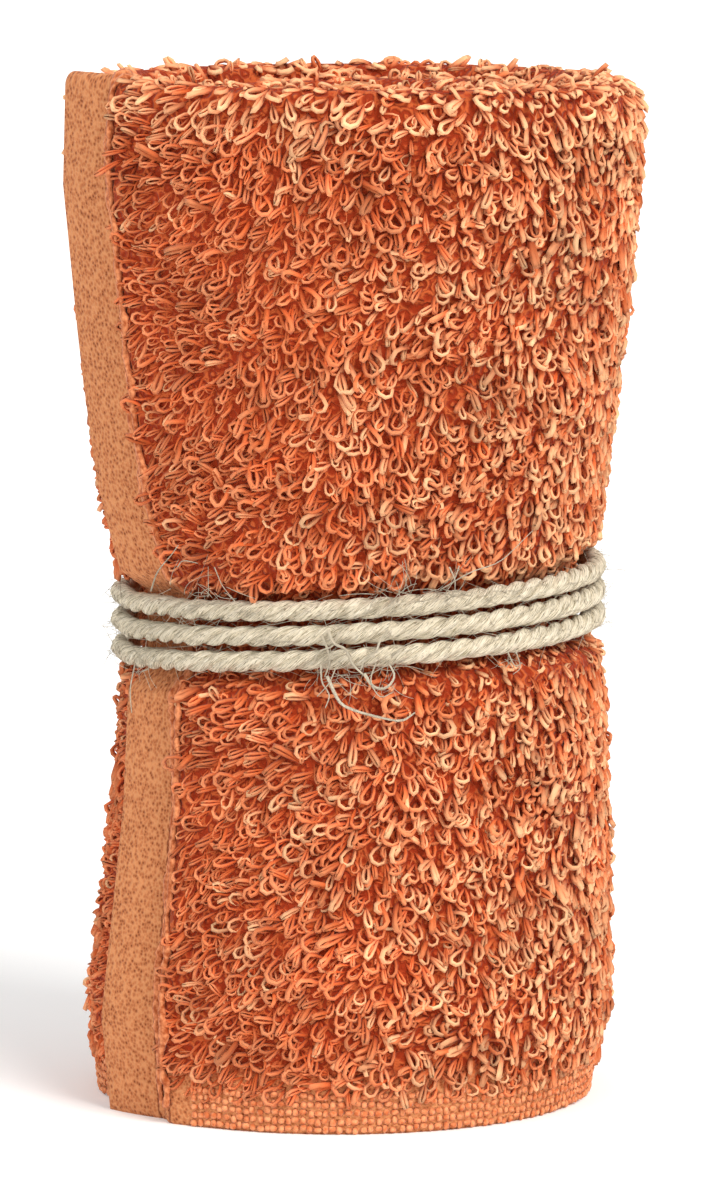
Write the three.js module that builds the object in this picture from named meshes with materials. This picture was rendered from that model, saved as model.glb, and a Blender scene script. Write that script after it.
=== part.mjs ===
// Rolled face towel: a terry towel doubled over along its length, rolled up, stood on end
// and tied round the waist with three turns of jute twine.
// Millimetres, +Z up. The viewer stands at -Y, and angles run anticlockwise seen from above.

import * as THREE from "three";

// Towel, as cut and sewn
const TOWEL_WIDTH = 300;
const TOWEL_LENGTH = 500;
const TERRY_LAYER = 5; // one layer of cloth with its pile on both faces
const BAND_LAYER = 1.1; // one layer of the flat woven band at each end
const BAND_WIDTH = 12.5;
const PILE_LAYER = 2.9; // one layer of terry just behind the band, pressed down by the roll
const PILE_START = 4; // length over which the pile rises behind the band
const OUTER_LOFT = 90; // length over which the terry then reaches its full thickness
const INNER_LOFT = 14; // the same at the end in the core, where less presses on it

// Towel, as rolled
const ROLL_HEIGHT = TOWEL_WIDTH / 2; // the fold is on top and both hems stand on the floor
const LAYER_GAP = 0.4; // between the two layers of the doubled cloth
const TURN_GAP = 0.5; // between one turn of the roll and the next
const START_RADIUS = 36.5; // the free edge's inner face, from the roll's pole
const EDGE_ANGLE = 205; // degrees, where the free edge lies at the front left
const POLE_SHIFT = { x: -2.7, y: 2.2 }; // brings the roll's outline round the Z axis
const CORE_CURL = 0.5; // how far the thin inner end gives way into the core, which closes it
const CORE_DIP = 2.5; // the inner turns stand lower than the outer one,
const DIP_START = 0.9; // by turns from the free edge where they begin to sink
const DIP_END = 2.2; // and where they have sunk
const FOLD_LIFT = 0.6; // the fold on top is this much taller than a half circle
const OUTLINE_SAMPLES = 120; // directions in which the roll's outline is worked out
const OUTLINE_BLUR = 4; // neighbours on each side that it is averaged with

// Twine
const TWINE_RADIUS = 1.46; // over the three plies
const TWINE_VALLEY = 1.14; // between two plies
const TWINE_PLIES = 3;
const TWIST_PITCH = 10.5; // one full turn of a ply
const TWINE_STEP = 1.75;
const TWINE_TURNS = 3;
const WINDING_POINTS = 72; // in each turn of the twine's line
const TURN_PITCH = 3.5; // from one turn of twine to the next
const TURN_FAN = 0.16; // how much wider the turns lie apart on the left
const TWINE_CLEARANCE = 0.54; // between the twine and the towel
const WAIST_HEIGHT = 71.7;
const WAIST_SLOPE = 0.04; // the twine rises to the right
const KNOT_ANGLE = 90; // degrees, the knot is at the back
const KNOT_REACH = 22; // along the twine, from the knot's middle to the winding
const KNOT_SQUEEZE = 0.88; // the twine is pulled thinner in its knot
const KNOT_LENGTH = 70; // of twine in each half of the knot, its tail included

// Half width of the roll at each height, how far its middle leans to the right there, how many
// degrees it is turned there, and whether the slit between the two layers bends there too
const PROFILE = [
  { height: 0, girth: 37.6, lean: -1.4, skew: 6, slit: true },
  { height: 6, girth: 38.4, lean: -1.2, skew: 6, slit: false },
  { height: 14, girth: 39.8, lean: -0.6, skew: 6, slit: true },
  { height: 46, girth: 37.4, lean: 0.9, skew: 4.5, slit: true },
  { height: 63.1, girth: 36.2, lean: 0.9, skew: 3, slit: true },
  { height: 66.2, girth: 32.6, lean: 0.6, skew: 2, slit: true },
  { height: 77.2, girth: 32.6, lean: 0.6, skew: 2, slit: true },
  { height: 80.4, girth: 36.4, lean: 0.4, skew: 1.2, slit: true },
  { height: 92, girth: 38.7, lean: -0.2, skew: -0.4, slit: false },
  { height: 110, girth: 40.9, lean: -0.1, skew: -2.5, slit: true },
  { height: 137, girth: 43.4, lean: 0, skew: -4, slit: true },
  { height: 150, girth: 42.6, lean: 0, skew: -4, slit: false },
];
const WALL_TOP = 138; // rows above this belong to the fold
const FOLD_STEPS = 5; // round the fold on top
const TURN_STEPS = [40, 32, 24, 16]; // sections in each turn, from the outside in
const BAND_SECTIONS = [0, 6.2, 12.5, 14.5, 16.5]; // lengths from each end that have a section

// Reef knot, one half: along the twine, up and out from the winding's own line.
// The other half is the same table turned round, with its high and low places changed over.
const KNOT_HALF = [
  { along: 23, up: 10.4, out: 4.7, part: "tail" },
  { along: 17, up: 8.2, out: 4.7, part: "tail" },
  { along: 11.5, up: 4.4, out: 5.4, part: "tail" },
  { along: 5.6, up: 1.6, out: 6.6, part: "leg" },
  { along: 0, up: 3.5, out: 3.1, part: "leg" },
  { along: -3.2, up: 5.3, out: 4.6, part: "bight" },
  { along: -6.2, up: 3.4, out: 6.5, part: "bight" },
  { along: -7.0, up: 0, out: 6.7, part: "bight" },
  { along: -6.2, up: -3.4, out: 6.5, part: "bight" },
  { along: -3.2, up: -5.3, out: 4.6, part: "bight" },
  { along: 0, up: -3.5, out: 3.1, part: "leg" },
  { along: 5.6, up: -1.6, out: 6.6, part: "leg" },
  { along: 11.5, up: -2.9, out: 4.6, part: "standing" },
  { along: 17, up: -4.4, out: 1.6, part: "standing" },
];
const KNOT_MIDDLE = 4.95; // mean of the knot's high and low places

const COLOURS = { terry: "#c4592f", twine: "#ddcfae" };

const TURN = 2 * Math.PI;
const LAYER_PITCH = 2 * TERRY_LAYER + LAYER_GAP + TURN_GAP;
const ROLL_AXIS = new THREE.Vector2(0, 0);
const ROUNDOFF = 1e-6;

const radians = THREE.MathUtils.degToRad;
const lerp = THREE.MathUtils.lerp;
const smoothstep = THREE.MathUtils.smoothstep;

// Value of a PROFILE column at a height
function profileAt(height, column) {
  const above = PROFILE.findIndex((row) => row.height >= height);
  if (above <= 0) {
    return PROFILE[0][column];
  }
  const low = PROFILE[above - 1];
  const high = PROFILE[above];
  const share = (height - low.height) / (high.height - low.height);
  return lerp(low[column], high[column], share);
}

// Moves a point of the plain spiral to its place in the evened, pinched and leaning roll
function placeOnRoll(radius, angle, height) {
  const plain = plainPlace(radius, angle);
  const scale = profileAt(height, "girth") / outlineReach(plain.angle());
  plain.multiplyScalar(scale).rotateAround(ROLL_AXIS, radians(profileAt(height, "skew")));
  plain.x += profileAt(height, "lean");
  return new THREE.Vector3(plain.x, plain.y, height + waistRise(plain.x, height));
}

// A point of the plain spiral, measured from the roll's middle in place of the spiral's pole
function plainPlace(radius, angle) {
  return new THREE.Vector2(radius * Math.cos(angle), radius * Math.sin(angle)).add(POLE_SHIFT);
}

// How far the plain spiral's outline reaches in a direction. The cloth is soft, so the roll is
// evened out by this reach and comes out round.
function outlineReach(angle) {
  const place = (angle / TURN) * OUTLINE_SAMPLES;
  const low = Math.floor(place);
  const reachAt = (sample) => OUTLINE[sample % OUTLINE_SAMPLES];
  return lerp(reachAt(low), reachAt(low + 1), place - low);
}

// Reach of the plain outline's taut loop in even directions, each a mean of its neighbours
function plainOutline() {
  const points = [];
  for (let sample = 0; sample < OUTLINE_SAMPLES; sample++) {
    const turn = sample / OUTLINE_SAMPLES;
    points.push(plainPlace(clothFaces(turn).outer, radians(EDGE_ANGLE) + TURN * turn));
  }
  const loop = outerHull(points);
  const raw = points.map((_, sample) => loopReach(loop, (TURN * sample) / OUTLINE_SAMPLES));
  return raw.map((_, sample) => {
    let sum = 0;
    for (let offset = -OUTLINE_BLUR; offset <= OUTLINE_BLUR; offset++) {
      sum += raw[(sample + offset + OUTLINE_SAMPLES) % OUTLINE_SAMPLES];
    }
    return sum / (2 * OUTLINE_BLUR + 1);
  });
}

// The pinch is tilted with the twine and climbs with its turns, and dies out towards the floor
// and the top
function waistRise(x, height) {
  const room = height < WAIST_HEIGHT ? WAIST_HEIGHT : ROLL_HEIGHT - WAIST_HEIGHT;
  const fade = 1 - Math.abs(height - WAIST_HEIGHT) / room;
  const climb = TURN_PITCH / (4 * profileAt(WAIST_HEIGHT, "girth"));
  return (WAIST_SLOPE + climb) * x * smoothstep(fade, 0, 1);
}

// Radius of the doubled cloth's inner face before any thinning, by turns from the free edge
function innerFace(turn) {
  return START_RADIUS - LAYER_PITCH * turn;
}

const MIDDLE_RADIUS = START_RADIUS + TERRY_LAYER + LAYER_GAP / 2;

// Length of cloth from the free edge to a place in the roll
function clothLength(turn) {
  return TURN * (MIDDLE_RADIUS * turn - (LAYER_PITCH * turn * turn) / 2);
}

// Turns in the whole roll, where clothLength reaches TOWEL_LENGTH
function rollTurns() {
  const left = MIDDLE_RADIUS ** 2 - (LAYER_PITCH * TOWEL_LENGTH) / Math.PI;
  return (MIDDLE_RADIUS - Math.sqrt(left)) / LAYER_PITCH;
}

// Turn at which a given length of cloth has been rolled, counted from the free edge
function turnAtLength(length) {
  const left = MIDDLE_RADIUS ** 2 - (LAYER_PITCH * length) / Math.PI;
  return (MIDDLE_RADIUS - Math.sqrt(Math.max(left, 0))) / LAYER_PITCH;
}

// One layer's thickness: thin in the end bands, then with pile, then with its full loft
function layerThickness(turn) {
  const length = clothLength(turn);
  const toEnd = Math.min(length, TOWEL_LENGTH - length);
  const pileEnd = BAND_WIDTH + PILE_START;
  const loft = toEnd < length ? INNER_LOFT : OUTER_LOFT;
  const pile = lerp(BAND_LAYER, PILE_LAYER, smoothstep(toEnd, BAND_WIDTH, pileEnd));
  return pile + (TERRY_LAYER - PILE_LAYER) * smoothstep(toEnd, pileEnd, pileEnd + loft);
}

// Faces of the doubled cloth at a place in the roll. The outer band lies on the turn inside it.
// The inner band lies partway between the turn outside it and the middle of the core.
function clothFaces(turn) {
  const layer = layerThickness(turn);
  const full = 2 * TERRY_LAYER + LAYER_GAP;
  const thin = full - (2 * layer + LAYER_GAP);
  const isInnerEnd = clothLength(turn) > TOWEL_LENGTH / 2;
  const inner = innerFace(turn) + (isInnerEnd ? (1 - CORE_CURL) * thin : 0);
  return {
    inner,
    innerSlit: inner + layer,
    outerSlit: inner + layer + LAYER_GAP,
    outer: inner + 2 * layer + LAYER_GAP,
    layer,
  };
}

// Closed radial section of the doubled cloth: up the outer face, over the fold, down the inner
// face, and up and down the slit between the layers. Each point is a radius and a height.
function clothSection(turn) {
  const faces = clothFaces(turn);
  const middle = (faces.outer + faces.inner) / 2;
  const halfWidth = (faces.outer - faces.inner) / 2;
  const top = ROLL_HEIGHT - CORE_DIP * smoothstep(turn, DIP_START, DIP_END);
  const foldRise = halfWidth + FOLD_LIFT;
  const shoulder = top - foldRise;
  const wallRows = PROFILE.filter((row) => row.height < WALL_TOP);
  const wall = wallRows.map((row) => row.height);
  const slit = wallRows.filter((row) => row.slit).map((row) => row.height);
  const points = wall.map((height) => ({ radius: faces.outer, height }));
  for (let step = 0; step <= FOLD_STEPS; step++) {
    const angle = (Math.PI * step) / FOLD_STEPS;
    points.push({
      radius: middle + halfWidth * Math.cos(angle),
      height: shoulder + foldRise * Math.sin(angle),
    });
  }
  for (const height of [...wall].reverse()) {
    points.push({ radius: faces.inner, height });
  }
  const slitTop = top - faces.layer - LAYER_GAP;
  for (const height of slit) {
    points.push({ radius: faces.innerSlit, height });
  }
  points.push({ radius: middle, height: slitTop });
  for (const height of [...slit].reverse()) {
    points.push({ radius: faces.outerSlit, height });
  }
  return points;
}

// Places along the cloth that get a section, in turns from the free edge
function sectionPlaces() {
  const turns = rollTurns();
  const bandPlaces = BAND_SECTIONS.flatMap((length) => [
    turnAtLength(length),
    turnAtLength(TOWEL_LENGTH - length),
  ]);
  const places = [];
  TURN_STEPS.forEach((steps, turn) => {
    for (let step = 0; step < steps; step++) {
      places.push(turn + step / steps);
    }
  });
  const halfStep = 0.5 / TURN_STEPS[0];
  const plain = places.filter(
    (place) => place < turns && bandPlaces.every((band) => Math.abs(band - place) > halfStep),
  );
  return [...bandPlaces, ...plain].sort((a, b) => a - b);
}

// Closed body from rings of points with the same count, with triangles over its first and last
// ring, turned if need be so that its faces point out
function loftBody(rings, firstCap, lastCap) {
  const count = rings[0].length;
  const positions = rings.flat().flatMap((point) => [point.x, point.y, point.z]);
  const indices = [];
  for (let ring = 0; ring + 1 < rings.length; ring++) {
    for (let side = 0; side < count; side++) {
      const a = ring * count + side;
      const b = ring * count + ((side + 1) % count);
      indices.push(a, b, b + count, a, b + count, a + count);
    }
  }
  const lastRing = (rings.length - 1) * count;
  for (const [a, b, c] of firstCap) {
    indices.push(a, c, b);
  }
  for (const [a, b, c] of lastCap) {
    indices.push(lastRing + a, lastRing + b, lastRing + c);
  }
  const geometry = new THREE.BufferGeometry();
  geometry.setAttribute("position", new THREE.Float32BufferAttribute(positions, 3));
  geometry.setIndex(signedVolume(positions, indices) > 0 ? indices : indices.reverse());
  geometry.computeVertexNormals();
  return geometry;
}

function signedVolume(positions, indices) {
  const corner = (index) => new THREE.Vector3().fromArray(positions, 3 * index);
  let volume = 0;
  for (let start = 0; start < indices.length; start += 3) {
    const [a, b, c] = indices.slice(start, start + 3).map(corner);
    volume += a.dot(b.cross(c)) / 6;
  }
  return volume;
}

function makeTowel() {
  const places = sectionPlaces();
  const angleAt = (turn) => radians(EDGE_ANGLE) + TURN * turn;
  const rings = places.map((turn) =>
    clothSection(turn).map((point) => placeOnRoll(point.radius, angleAt(turn), point.height)),
  );
  const capOf = (ring, turn) => {
    const outward = new THREE.Vector3(Math.cos(angleAt(turn)), Math.sin(angleAt(turn)), 0);
    const outline = ring.map((point) => new THREE.Vector2(point.dot(outward), point.z));
    return THREE.ShapeUtils.triangulateShape(outline, []);
  };
  const firstCap = capOf(rings[0], places[0]);
  const lastCap = capOf(rings.at(-1), places.at(-1));
  const material = new THREE.MeshStandardMaterial({
    color: COLOURS.terry,
    roughness: 0.95,
    metalness: 0,
  });
  const towel = new THREE.Mesh(loftBody(rings, firstCap, lastCap), material);
  towel.name = "towel";
  return towel;
}

// Outline of the roll where the twine grips it, as a taut loop over any hollow
function waistLoop() {
  const outline = [];
  for (let sample = 0; sample < OUTLINE_SAMPLES; sample++) {
    const turn = sample / OUTLINE_SAMPLES;
    const angle = radians(EDGE_ANGLE) + TURN * turn;
    outline.push(placeOnRoll(clothFaces(turn).outer, angle, WAIST_HEIGHT));
  }
  return outerHull(outline);
}

// Convex outline of points seen from above, anticlockwise
function outerHull(points) {
  const sorted = [...points].sort((a, b) => a.x - b.x || a.y - b.y);
  const bend = (a, b, c) => (b.x - a.x) * (c.y - a.y) - (b.y - a.y) * (c.x - a.x);
  const chain = (list) => {
    const kept = [];
    for (const point of list) {
      while (kept.length > 1 && bend(kept.at(-2), kept.at(-1), point) <= 0) {
        kept.pop();
      }
      kept.push(point);
    }
    return kept.slice(0, -1);
  };
  return [...chain(sorted), ...chain(sorted.reverse())];
}

// Distance from the Z axis to a closed loop in a direction
function loopReach(loop, angle) {
  const direction = new THREE.Vector2(Math.cos(angle), Math.sin(angle));
  let reach = 0;
  loop.forEach((start, index) => {
    const end = loop[(index + 1) % loop.length];
    const edge = new THREE.Vector2(end.x - start.x, end.y - start.y);
    const across = direction.cross(edge);
    const along = (start.x * direction.y - start.y * direction.x) / across;
    if (across > 0 && along >= -ROUNDOFF && along <= 1 + ROUNDOFF) {
      reach = Math.max(reach, (start.x * edge.y - start.y * edge.x) / across);
    }
  });
  return reach;
}

// Radius of the twine's line at an angle, clear of the towel
function windingRadius(loop, angle) {
  return loopReach(loop, angle) + TWINE_CLEARANCE + TWINE_RADIUS;
}

// A point of the winding's line: an angle, and a height and a distance out from that line
function windingPoint(loop, angle, up, out) {
  const radius = windingRadius(loop, angle) + out;
  const x = radius * Math.cos(angle);
  return new THREE.Vector3(x, radius * Math.sin(angle), WAIST_HEIGHT + up + WAIST_SLOPE * x);
}

// Height of the winding over its middle, by turns from the knot
function windingHeight(turn) {
  const angle = radians(KNOT_ANGLE) + TURN * turn;
  const fan = 1 + TURN_FAN * Math.max(0, -Math.cos(angle)) ** 2;
  return (turn - TWINE_TURNS / 2) * TURN_PITCH * fan;
}

// Line of the whole twine: a tail, half of the knot, the winding, the other half, a tail
function twineLine() {
  const loop = waistLoop();
  const middle = radians(KNOT_ANGLE);
  const lineRadius = windingRadius(loop, middle);
  const knotPoint = (along, up, out) => windingPoint(loop, middle + along / lineRadius, up, out);
  const firstHalf = KNOT_HALF.map((row) => knotPoint(row.along, row.up, row.out));
  const secondHalf = [...KNOT_HALF].reverse().map((row) => {
    const lies = row.part === "leg" || row.part === "bight";
    const out = lies ? 2 * KNOT_MIDDLE - row.out : row.out;
    return knotPoint(-row.along, -row.up, out);
  });
  const winding = [];
  const start = KNOT_REACH / lineRadius / TURN;
  const steps = Math.round(WINDING_POINTS * (TWINE_TURNS - 2 * start));
  for (let step = 0; step <= steps; step++) {
    const turn = lerp(start, TWINE_TURNS - start, step / steps);
    winding.push(windingPoint(loop, middle + TURN * turn, windingHeight(turn), 0));
  }
  return new THREE.CatmullRomCurve3([...firstHalf, ...winding, ...secondHalf]);
}

// Ring of the twine's ridged section at a point, turned by the twist
function twineRing(point, tangent, twist, squeeze) {
  const outward = new THREE.Vector3(point.x, point.y, 0).normalize();
  const side = new THREE.Vector3().crossVectors(tangent, outward).normalize();
  const lift = new THREE.Vector3().crossVectors(side, tangent);
  const corners = 2 * TWINE_PLIES;
  return Array.from({ length: corners }, (_, corner) => {
    const radius = squeeze * (corner % 2 === 0 ? TWINE_RADIUS : TWINE_VALLEY);
    const angle = twist + (TURN * corner) / corners;
    return point
      .clone()
      .addScaledVector(side, radius * Math.cos(angle))
      .addScaledVector(lift, radius * Math.sin(angle));
  });
}

// The twine is thinner in its knot and full where it is wound
function twineSqueeze(fromEnd) {
  return lerp(KNOT_SQUEEZE, 1, smoothstep(fromEnd, KNOT_LENGTH - TWIST_PITCH, KNOT_LENGTH));
}

function makeTwine() {
  const line = twineLine();
  line.arcLengthDivisions = 6000;
  const length = line.getLength();
  const steps = Math.round(length / TWINE_STEP);
  const rings = [];
  for (let step = 0; step <= steps; step++) {
    const share = step / steps;
    const twist = (TURN * share * length) / TWIST_PITCH;
    const squeeze = twineSqueeze(length * Math.min(share, 1 - share));
    rings.push(twineRing(line.getPointAt(share), line.getTangentAt(share), twist, squeeze));
  }
  const cap = [
    [1, 3, 5],
    [0, 1, 5],
    [1, 2, 3],
    [3, 4, 5],
  ];
  const material = new THREE.MeshStandardMaterial({
    color: COLOURS.twine,
    roughness: 0.9,
    metalness: 0,
  });
  const twine = new THREE.Mesh(loftBody(rings, cap, cap), material);
  twine.name = "twine";
  return twine;
}

const OUTLINE = plainOutline();
const roll = new THREE.Group();
roll.add(makeTowel(), makeTwine());
const middle = new THREE.Box3().setFromObject(roll).getCenter(new THREE.Vector3());
roll.position.set(-middle.x, -middle.y, 0);

export default roll;
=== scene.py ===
"""Rolled face towel, tied with jute twine: the looks of the part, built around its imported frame.

The cloth follows the same spiral law as the solids: a terry towel doubled over along its length,
rolled up with the fold on top, and pinched at the waist. Two soft creases in its outer wall are
added here. Sizes of that law are in millimetres, and MM turns them to metres. At azimuth 0 the
viewer stands at -Y, with +X to the right.
"""

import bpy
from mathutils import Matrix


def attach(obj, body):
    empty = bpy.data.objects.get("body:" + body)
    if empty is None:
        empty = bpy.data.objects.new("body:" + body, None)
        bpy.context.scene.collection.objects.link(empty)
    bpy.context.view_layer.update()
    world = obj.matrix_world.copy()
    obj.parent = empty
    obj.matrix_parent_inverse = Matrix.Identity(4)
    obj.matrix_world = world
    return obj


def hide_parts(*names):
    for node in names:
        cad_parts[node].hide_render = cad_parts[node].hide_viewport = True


bl_info = {
    "name": "Rolled face towel",
    "version": (1, 0, 0),
    "blender": (4, 5, 0),
    "location": "3D View > Sidebar > Towel",
    "description": "Builds the terry pile, woven borders and twine of a rolled face towel",
    "category": "Object",
}

import math

import bpy
import numpy as np
from bpy.props import FloatProperty, FloatVectorProperty, IntProperty, PointerProperty
from mathutils import Vector

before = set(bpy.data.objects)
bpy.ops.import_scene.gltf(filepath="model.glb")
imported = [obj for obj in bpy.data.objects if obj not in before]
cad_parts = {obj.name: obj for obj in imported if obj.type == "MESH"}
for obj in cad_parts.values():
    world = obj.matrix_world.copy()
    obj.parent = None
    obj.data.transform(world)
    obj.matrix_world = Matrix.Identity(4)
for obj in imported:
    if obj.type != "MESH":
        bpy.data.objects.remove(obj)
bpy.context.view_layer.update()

MM = 0.001
TURN = 2 * math.pi

# Towel, as cut and rolled
TOWEL_LENGTH = 500
TERRY_LAYER = 5
BAND_LAYER = 1.1
BAND_WIDTH = 12.5
PILE_LAYER = 2.9
PILE_START = 4
OUTER_LOFT = 90
INNER_LOFT = 14
ROLL_HEIGHT = 150
LAYER_GAP = 0.4
TURN_GAP = 0.5
START_RADIUS = 36.5
EDGE_ANGLE = math.radians(205)
POLE_SHIFT = (-2.7, 2.2)
CORE_CURL = 0.5
CORE_DIP = 2.5
DIP_START = 0.9
DIP_END = 2.2
FOLD_LIFT = 0.6
OUTLINE_SAMPLES = 120
OUTLINE_BLUR = 4
CENTRE_SHIFT = (-0.2264, -0.0153)

# Half width of the roll at each height, its lean to the right and its turn in degrees
PROFILE = (
    # height, girth, lean, skew
    (0, 37.6, -1.4, 6),
    (6, 38.4, -1.2, 6),
    (14, 39.8, -0.6, 6),
    (46, 37.4, 0.9, 4.5),
    (63.1, 36.2, 0.9, 3),
    (66.2, 32.6, 0.6, 2),
    (77.2, 32.6, 0.6, 2),
    (80.4, 36.4, 0.4, 1.2),
    (92, 38.7, -0.2, -0.4),
    (110, 40.9, -0.1, -2.5),
    (137, 43.4, 0, -4),
    (150, 42.6, 0, -4),
)
PROFILE_HEIGHT, PROFILE_GIRTH, PROFILE_LEAN, PROFILE_SKEW = np.array(PROFILE, float).T

# Twine, as wound
TWINE_RADIUS = 1.46
TWIST_PITCH = 10.5
TWINE_TURNS = 3
WINDING_POINTS = 72
TURN_PITCH = 3.5
TURN_FAN = 0.16
TWINE_CLEARANCE = 0.54
WAIST_HEIGHT = 71.7
WAIST_SLOPE = 0.04
KNOT_ANGLE = math.radians(90)
KNOT_REACH = 22
KNOT_SQUEEZE = 0.88
KNOT_LENGTH = 70
KNOT_MIDDLE = 4.95

# Reef knot, one half: along the twine, up and out from the winding's line, and whether the
# place changes between high and low in the other half
KNOT_HALF = (
    # along, up, out, changes
    (23, 10.4, 4.7, 0),
    (17, 8.2, 4.7, 0),
    (11.5, 4.4, 5.4, 0),
    (5.6, 1.6, 6.6, 1),
    (0, 3.5, 3.1, 1),
    (-3.2, 5.3, 4.6, 1),
    (-6.2, 3.4, 6.5, 1),
    (-7.0, 0, 6.7, 1),
    (-6.2, -3.4, 6.5, 1),
    (-3.2, -5.3, 4.6, 1),
    (0, -3.5, 3.1, 1),
    (5.6, -1.6, 6.6, 1),
    (11.5, -2.9, 4.6, 0),
    (17, -4.4, 1.6, 0),
)

LAYER_PITCH = 2 * TERRY_LAYER + LAYER_GAP + TURN_GAP
MIDDLE_RADIUS = START_RADIUS + TERRY_LAYER + LAYER_GAP / 2

# What the eye sees on the cloth
BORDER_HEIGHT = 6.3
PILE_FROM = 18.4
WALL_END = 1.025
CREASES = (
    # turn from the free edge, depth, half width
    (0.227, 0.7, 1.8),
    (0.272, 0.45, 1.6),
)


def linear(hex_colour):
    """Linear RGB of an sRGB hex value."""
    parts = [int(hex_colour[place:place + 2], 16) / 255 for place in (1, 3, 5)]
    return tuple(part / 12.92 if part <= 0.04045 else ((part + 0.055) / 1.055) ** 2.4 for part in parts)


def length_setting(name, description, millimetres, precision=4):
    """Setting for a length, with its default in millimetres."""
    return FloatProperty(
        name=name, description=description, default=millimetres * MM, unit="LENGTH", precision=precision
    )


def colour_setting(name, description, hex_colour):
    """Setting for a colour, with its default as an sRGB hex value."""
    return FloatVectorProperty(
        name=name, description=description, default=linear(hex_colour), size=3, subtype="COLOR"
    )


def number_setting(name, description, value):
    """Setting for a plain number, such as the strength of a light."""
    return FloatProperty(name=name, description=description, default=value)


class TowelSettings(bpy.types.PropertyGroup):
    """Sizes and colours of the terry cloth."""

    loop_length: length_setting("Loop length", "Length of a pile loop from its root to its head", 3.2)
    loop_width: length_setting("Loop width", "Width of a pile loop's head", 2.1)
    yarn_radius: length_setting("Yarn radius", "Radius of the pile yarn", 0.28)
    loop_spacing: length_setting("Loop spacing", "Distance from one pile loop to the next", 1.56)
    ground_thickness: length_setting(
        "Ground thickness", "Thickness of the woven ground that carries the loops", 1.3
    )
    seed: IntProperty(name="Seed", description="Seed of the pile's unevenness", default=7)
    # Painted shade: the yarn's colour down between the loops, darker where the pile shades it
    shaded_root_colour: colour_setting("Root colour", "Colour of the yarn down between the loops", "#A0340B")
    yarn_colour: colour_setting("Yarn colour", "Colour of the yarn along the loops", "#C65C2C")
    # Painted highlight: the loops' heads are lighter where they are lit
    lit_head_colour: colour_setting(
        "Head colour", "Colour of the loops' heads, where they are worn and lit", "#DC7F50"
    )
    # Pale loops: some took less dye, and the many pale loops on the right and over the rim are a painted
    # highlight
    pale_and_lit_colour: colour_setting("Pale colour", "Colour of the loops that took less dye", "#EDBB8C")
    band_colour: colour_setting("Band colour", "Colour of the flat woven band and border", "#D08A5A")


class TwineSettings(bpy.types.PropertyGroup):
    """Sizes and colours of the jute twine."""

    ply_radius: length_setting("Ply radius", "Radius of one of the three plies", 0.8)
    fibre_radius: length_setting("Fibre radius", "Radius of a loose jute fibre", 0.045, 5)
    fibre_count: IntProperty(
        name="Fibres", description="Number of fine fibres that stand off the twine", default=1100
    )
    seed: IntProperty(name="Seed", description="Seed of the fibres' unevenness", default=11)
    jute_colour: colour_setting("Jute colour", "Colour of the natural jute", "#EDDEC2")
    # Painted shade: the jute down between its fibres, the dark end of its streaks
    fibre_shade_colour: colour_setting(
        "Groove colour", "Colour of the jute down between its fibres", "#8F8262"
    )


class StageSettings(bpy.types.PropertyGroup):
    """Floor, light and camera."""

    camera_distance: length_setting(
        "Camera distance", "From the camera to the middle of the view", 1150, 2
    )
    camera_elevation: FloatProperty(
        name="Camera elevation",
        description="Height of the camera over the roll's waist",
        default=math.radians(7.2),
        subtype="ANGLE",
    )
    view_height: length_setting("View height", "Height of the picture at the roll's axis", 174.8)
    key_strength: number_setting(
        "Key strength", "Strength of the large soft light, in watts a square metre", 2.7
    )
    sky_strength: number_setting("Sky strength", "Strength of the even light from all round", 0.72)
    floor_glow: number_setting(
        "Floor glow", "Light that the white floor gives off, so that it stays white far away", 0.1
    )


# Shape of the rolled cloth


def smooth(value, low, high):
    """Zero below low, one above high, and an even rise between them."""
    share = np.clip((value - low) / (high - low), 0, 1)
    return share * share * (3 - 2 * share)


def plain_place(radius, angle):
    """A point of the plain spiral, measured from the roll's middle in place of its pole."""
    return np.stack([radius * np.cos(angle) + POLE_SHIFT[0], radius * np.sin(angle) + POLE_SHIFT[1]], -1)


def cloth_length(turn):
    """Length of cloth from the free edge to a place in the roll."""
    return TURN * (MIDDLE_RADIUS * turn - LAYER_PITCH * turn**2 / 2)


def turn_at(length):
    """Turn at which a length of cloth has been rolled, counted from the free edge."""
    left = MIDDLE_RADIUS**2 - LAYER_PITCH * np.asarray(length) / math.pi
    return (MIDDLE_RADIUS - np.sqrt(np.maximum(left, 0))) / LAYER_PITCH


def layer_thickness(turn):
    """One layer with its pile: thin in the end bands, then up to its full loft."""
    length = cloth_length(turn)
    to_end = np.minimum(length, TOWEL_LENGTH - length)
    pile_end = BAND_WIDTH + PILE_START
    loft = np.where(to_end < length, INNER_LOFT, OUTER_LOFT)
    pile = BAND_LAYER + (PILE_LAYER - BAND_LAYER) * smooth(to_end, BAND_WIDTH, pile_end)
    return pile + (TERRY_LAYER - PILE_LAYER) * smooth(to_end, pile_end, pile_end + loft)


def cloth_faces(turn):
    """Radius of the doubled cloth's inner and outer face, and one layer's thickness."""
    layer = layer_thickness(turn)
    thin = 2 * (TERRY_LAYER - layer)
    is_inner_end = cloth_length(turn) > TOWEL_LENGTH / 2
    inner = START_RADIUS - LAYER_PITCH * turn + np.where(is_inner_end, (1 - CORE_CURL) * thin, 0)
    return inner, inner + 2 * layer + LAYER_GAP, layer


def outer_hull(points):
    """Convex outline of points seen from above, anticlockwise."""
    ordered = sorted(map(tuple, points))

    def chain(places):
        kept = []
        for place in places:
            while len(kept) > 1:
                a, b = kept[-2], kept[-1]
                if (b[0] - a[0]) * (place[1] - a[1]) - (b[1] - a[1]) * (place[0] - a[0]) > 0:
                    break
                kept.pop()
            kept.append(place)
        return kept[:-1]

    return np.array(chain(ordered) + chain(ordered[::-1]))


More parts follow.
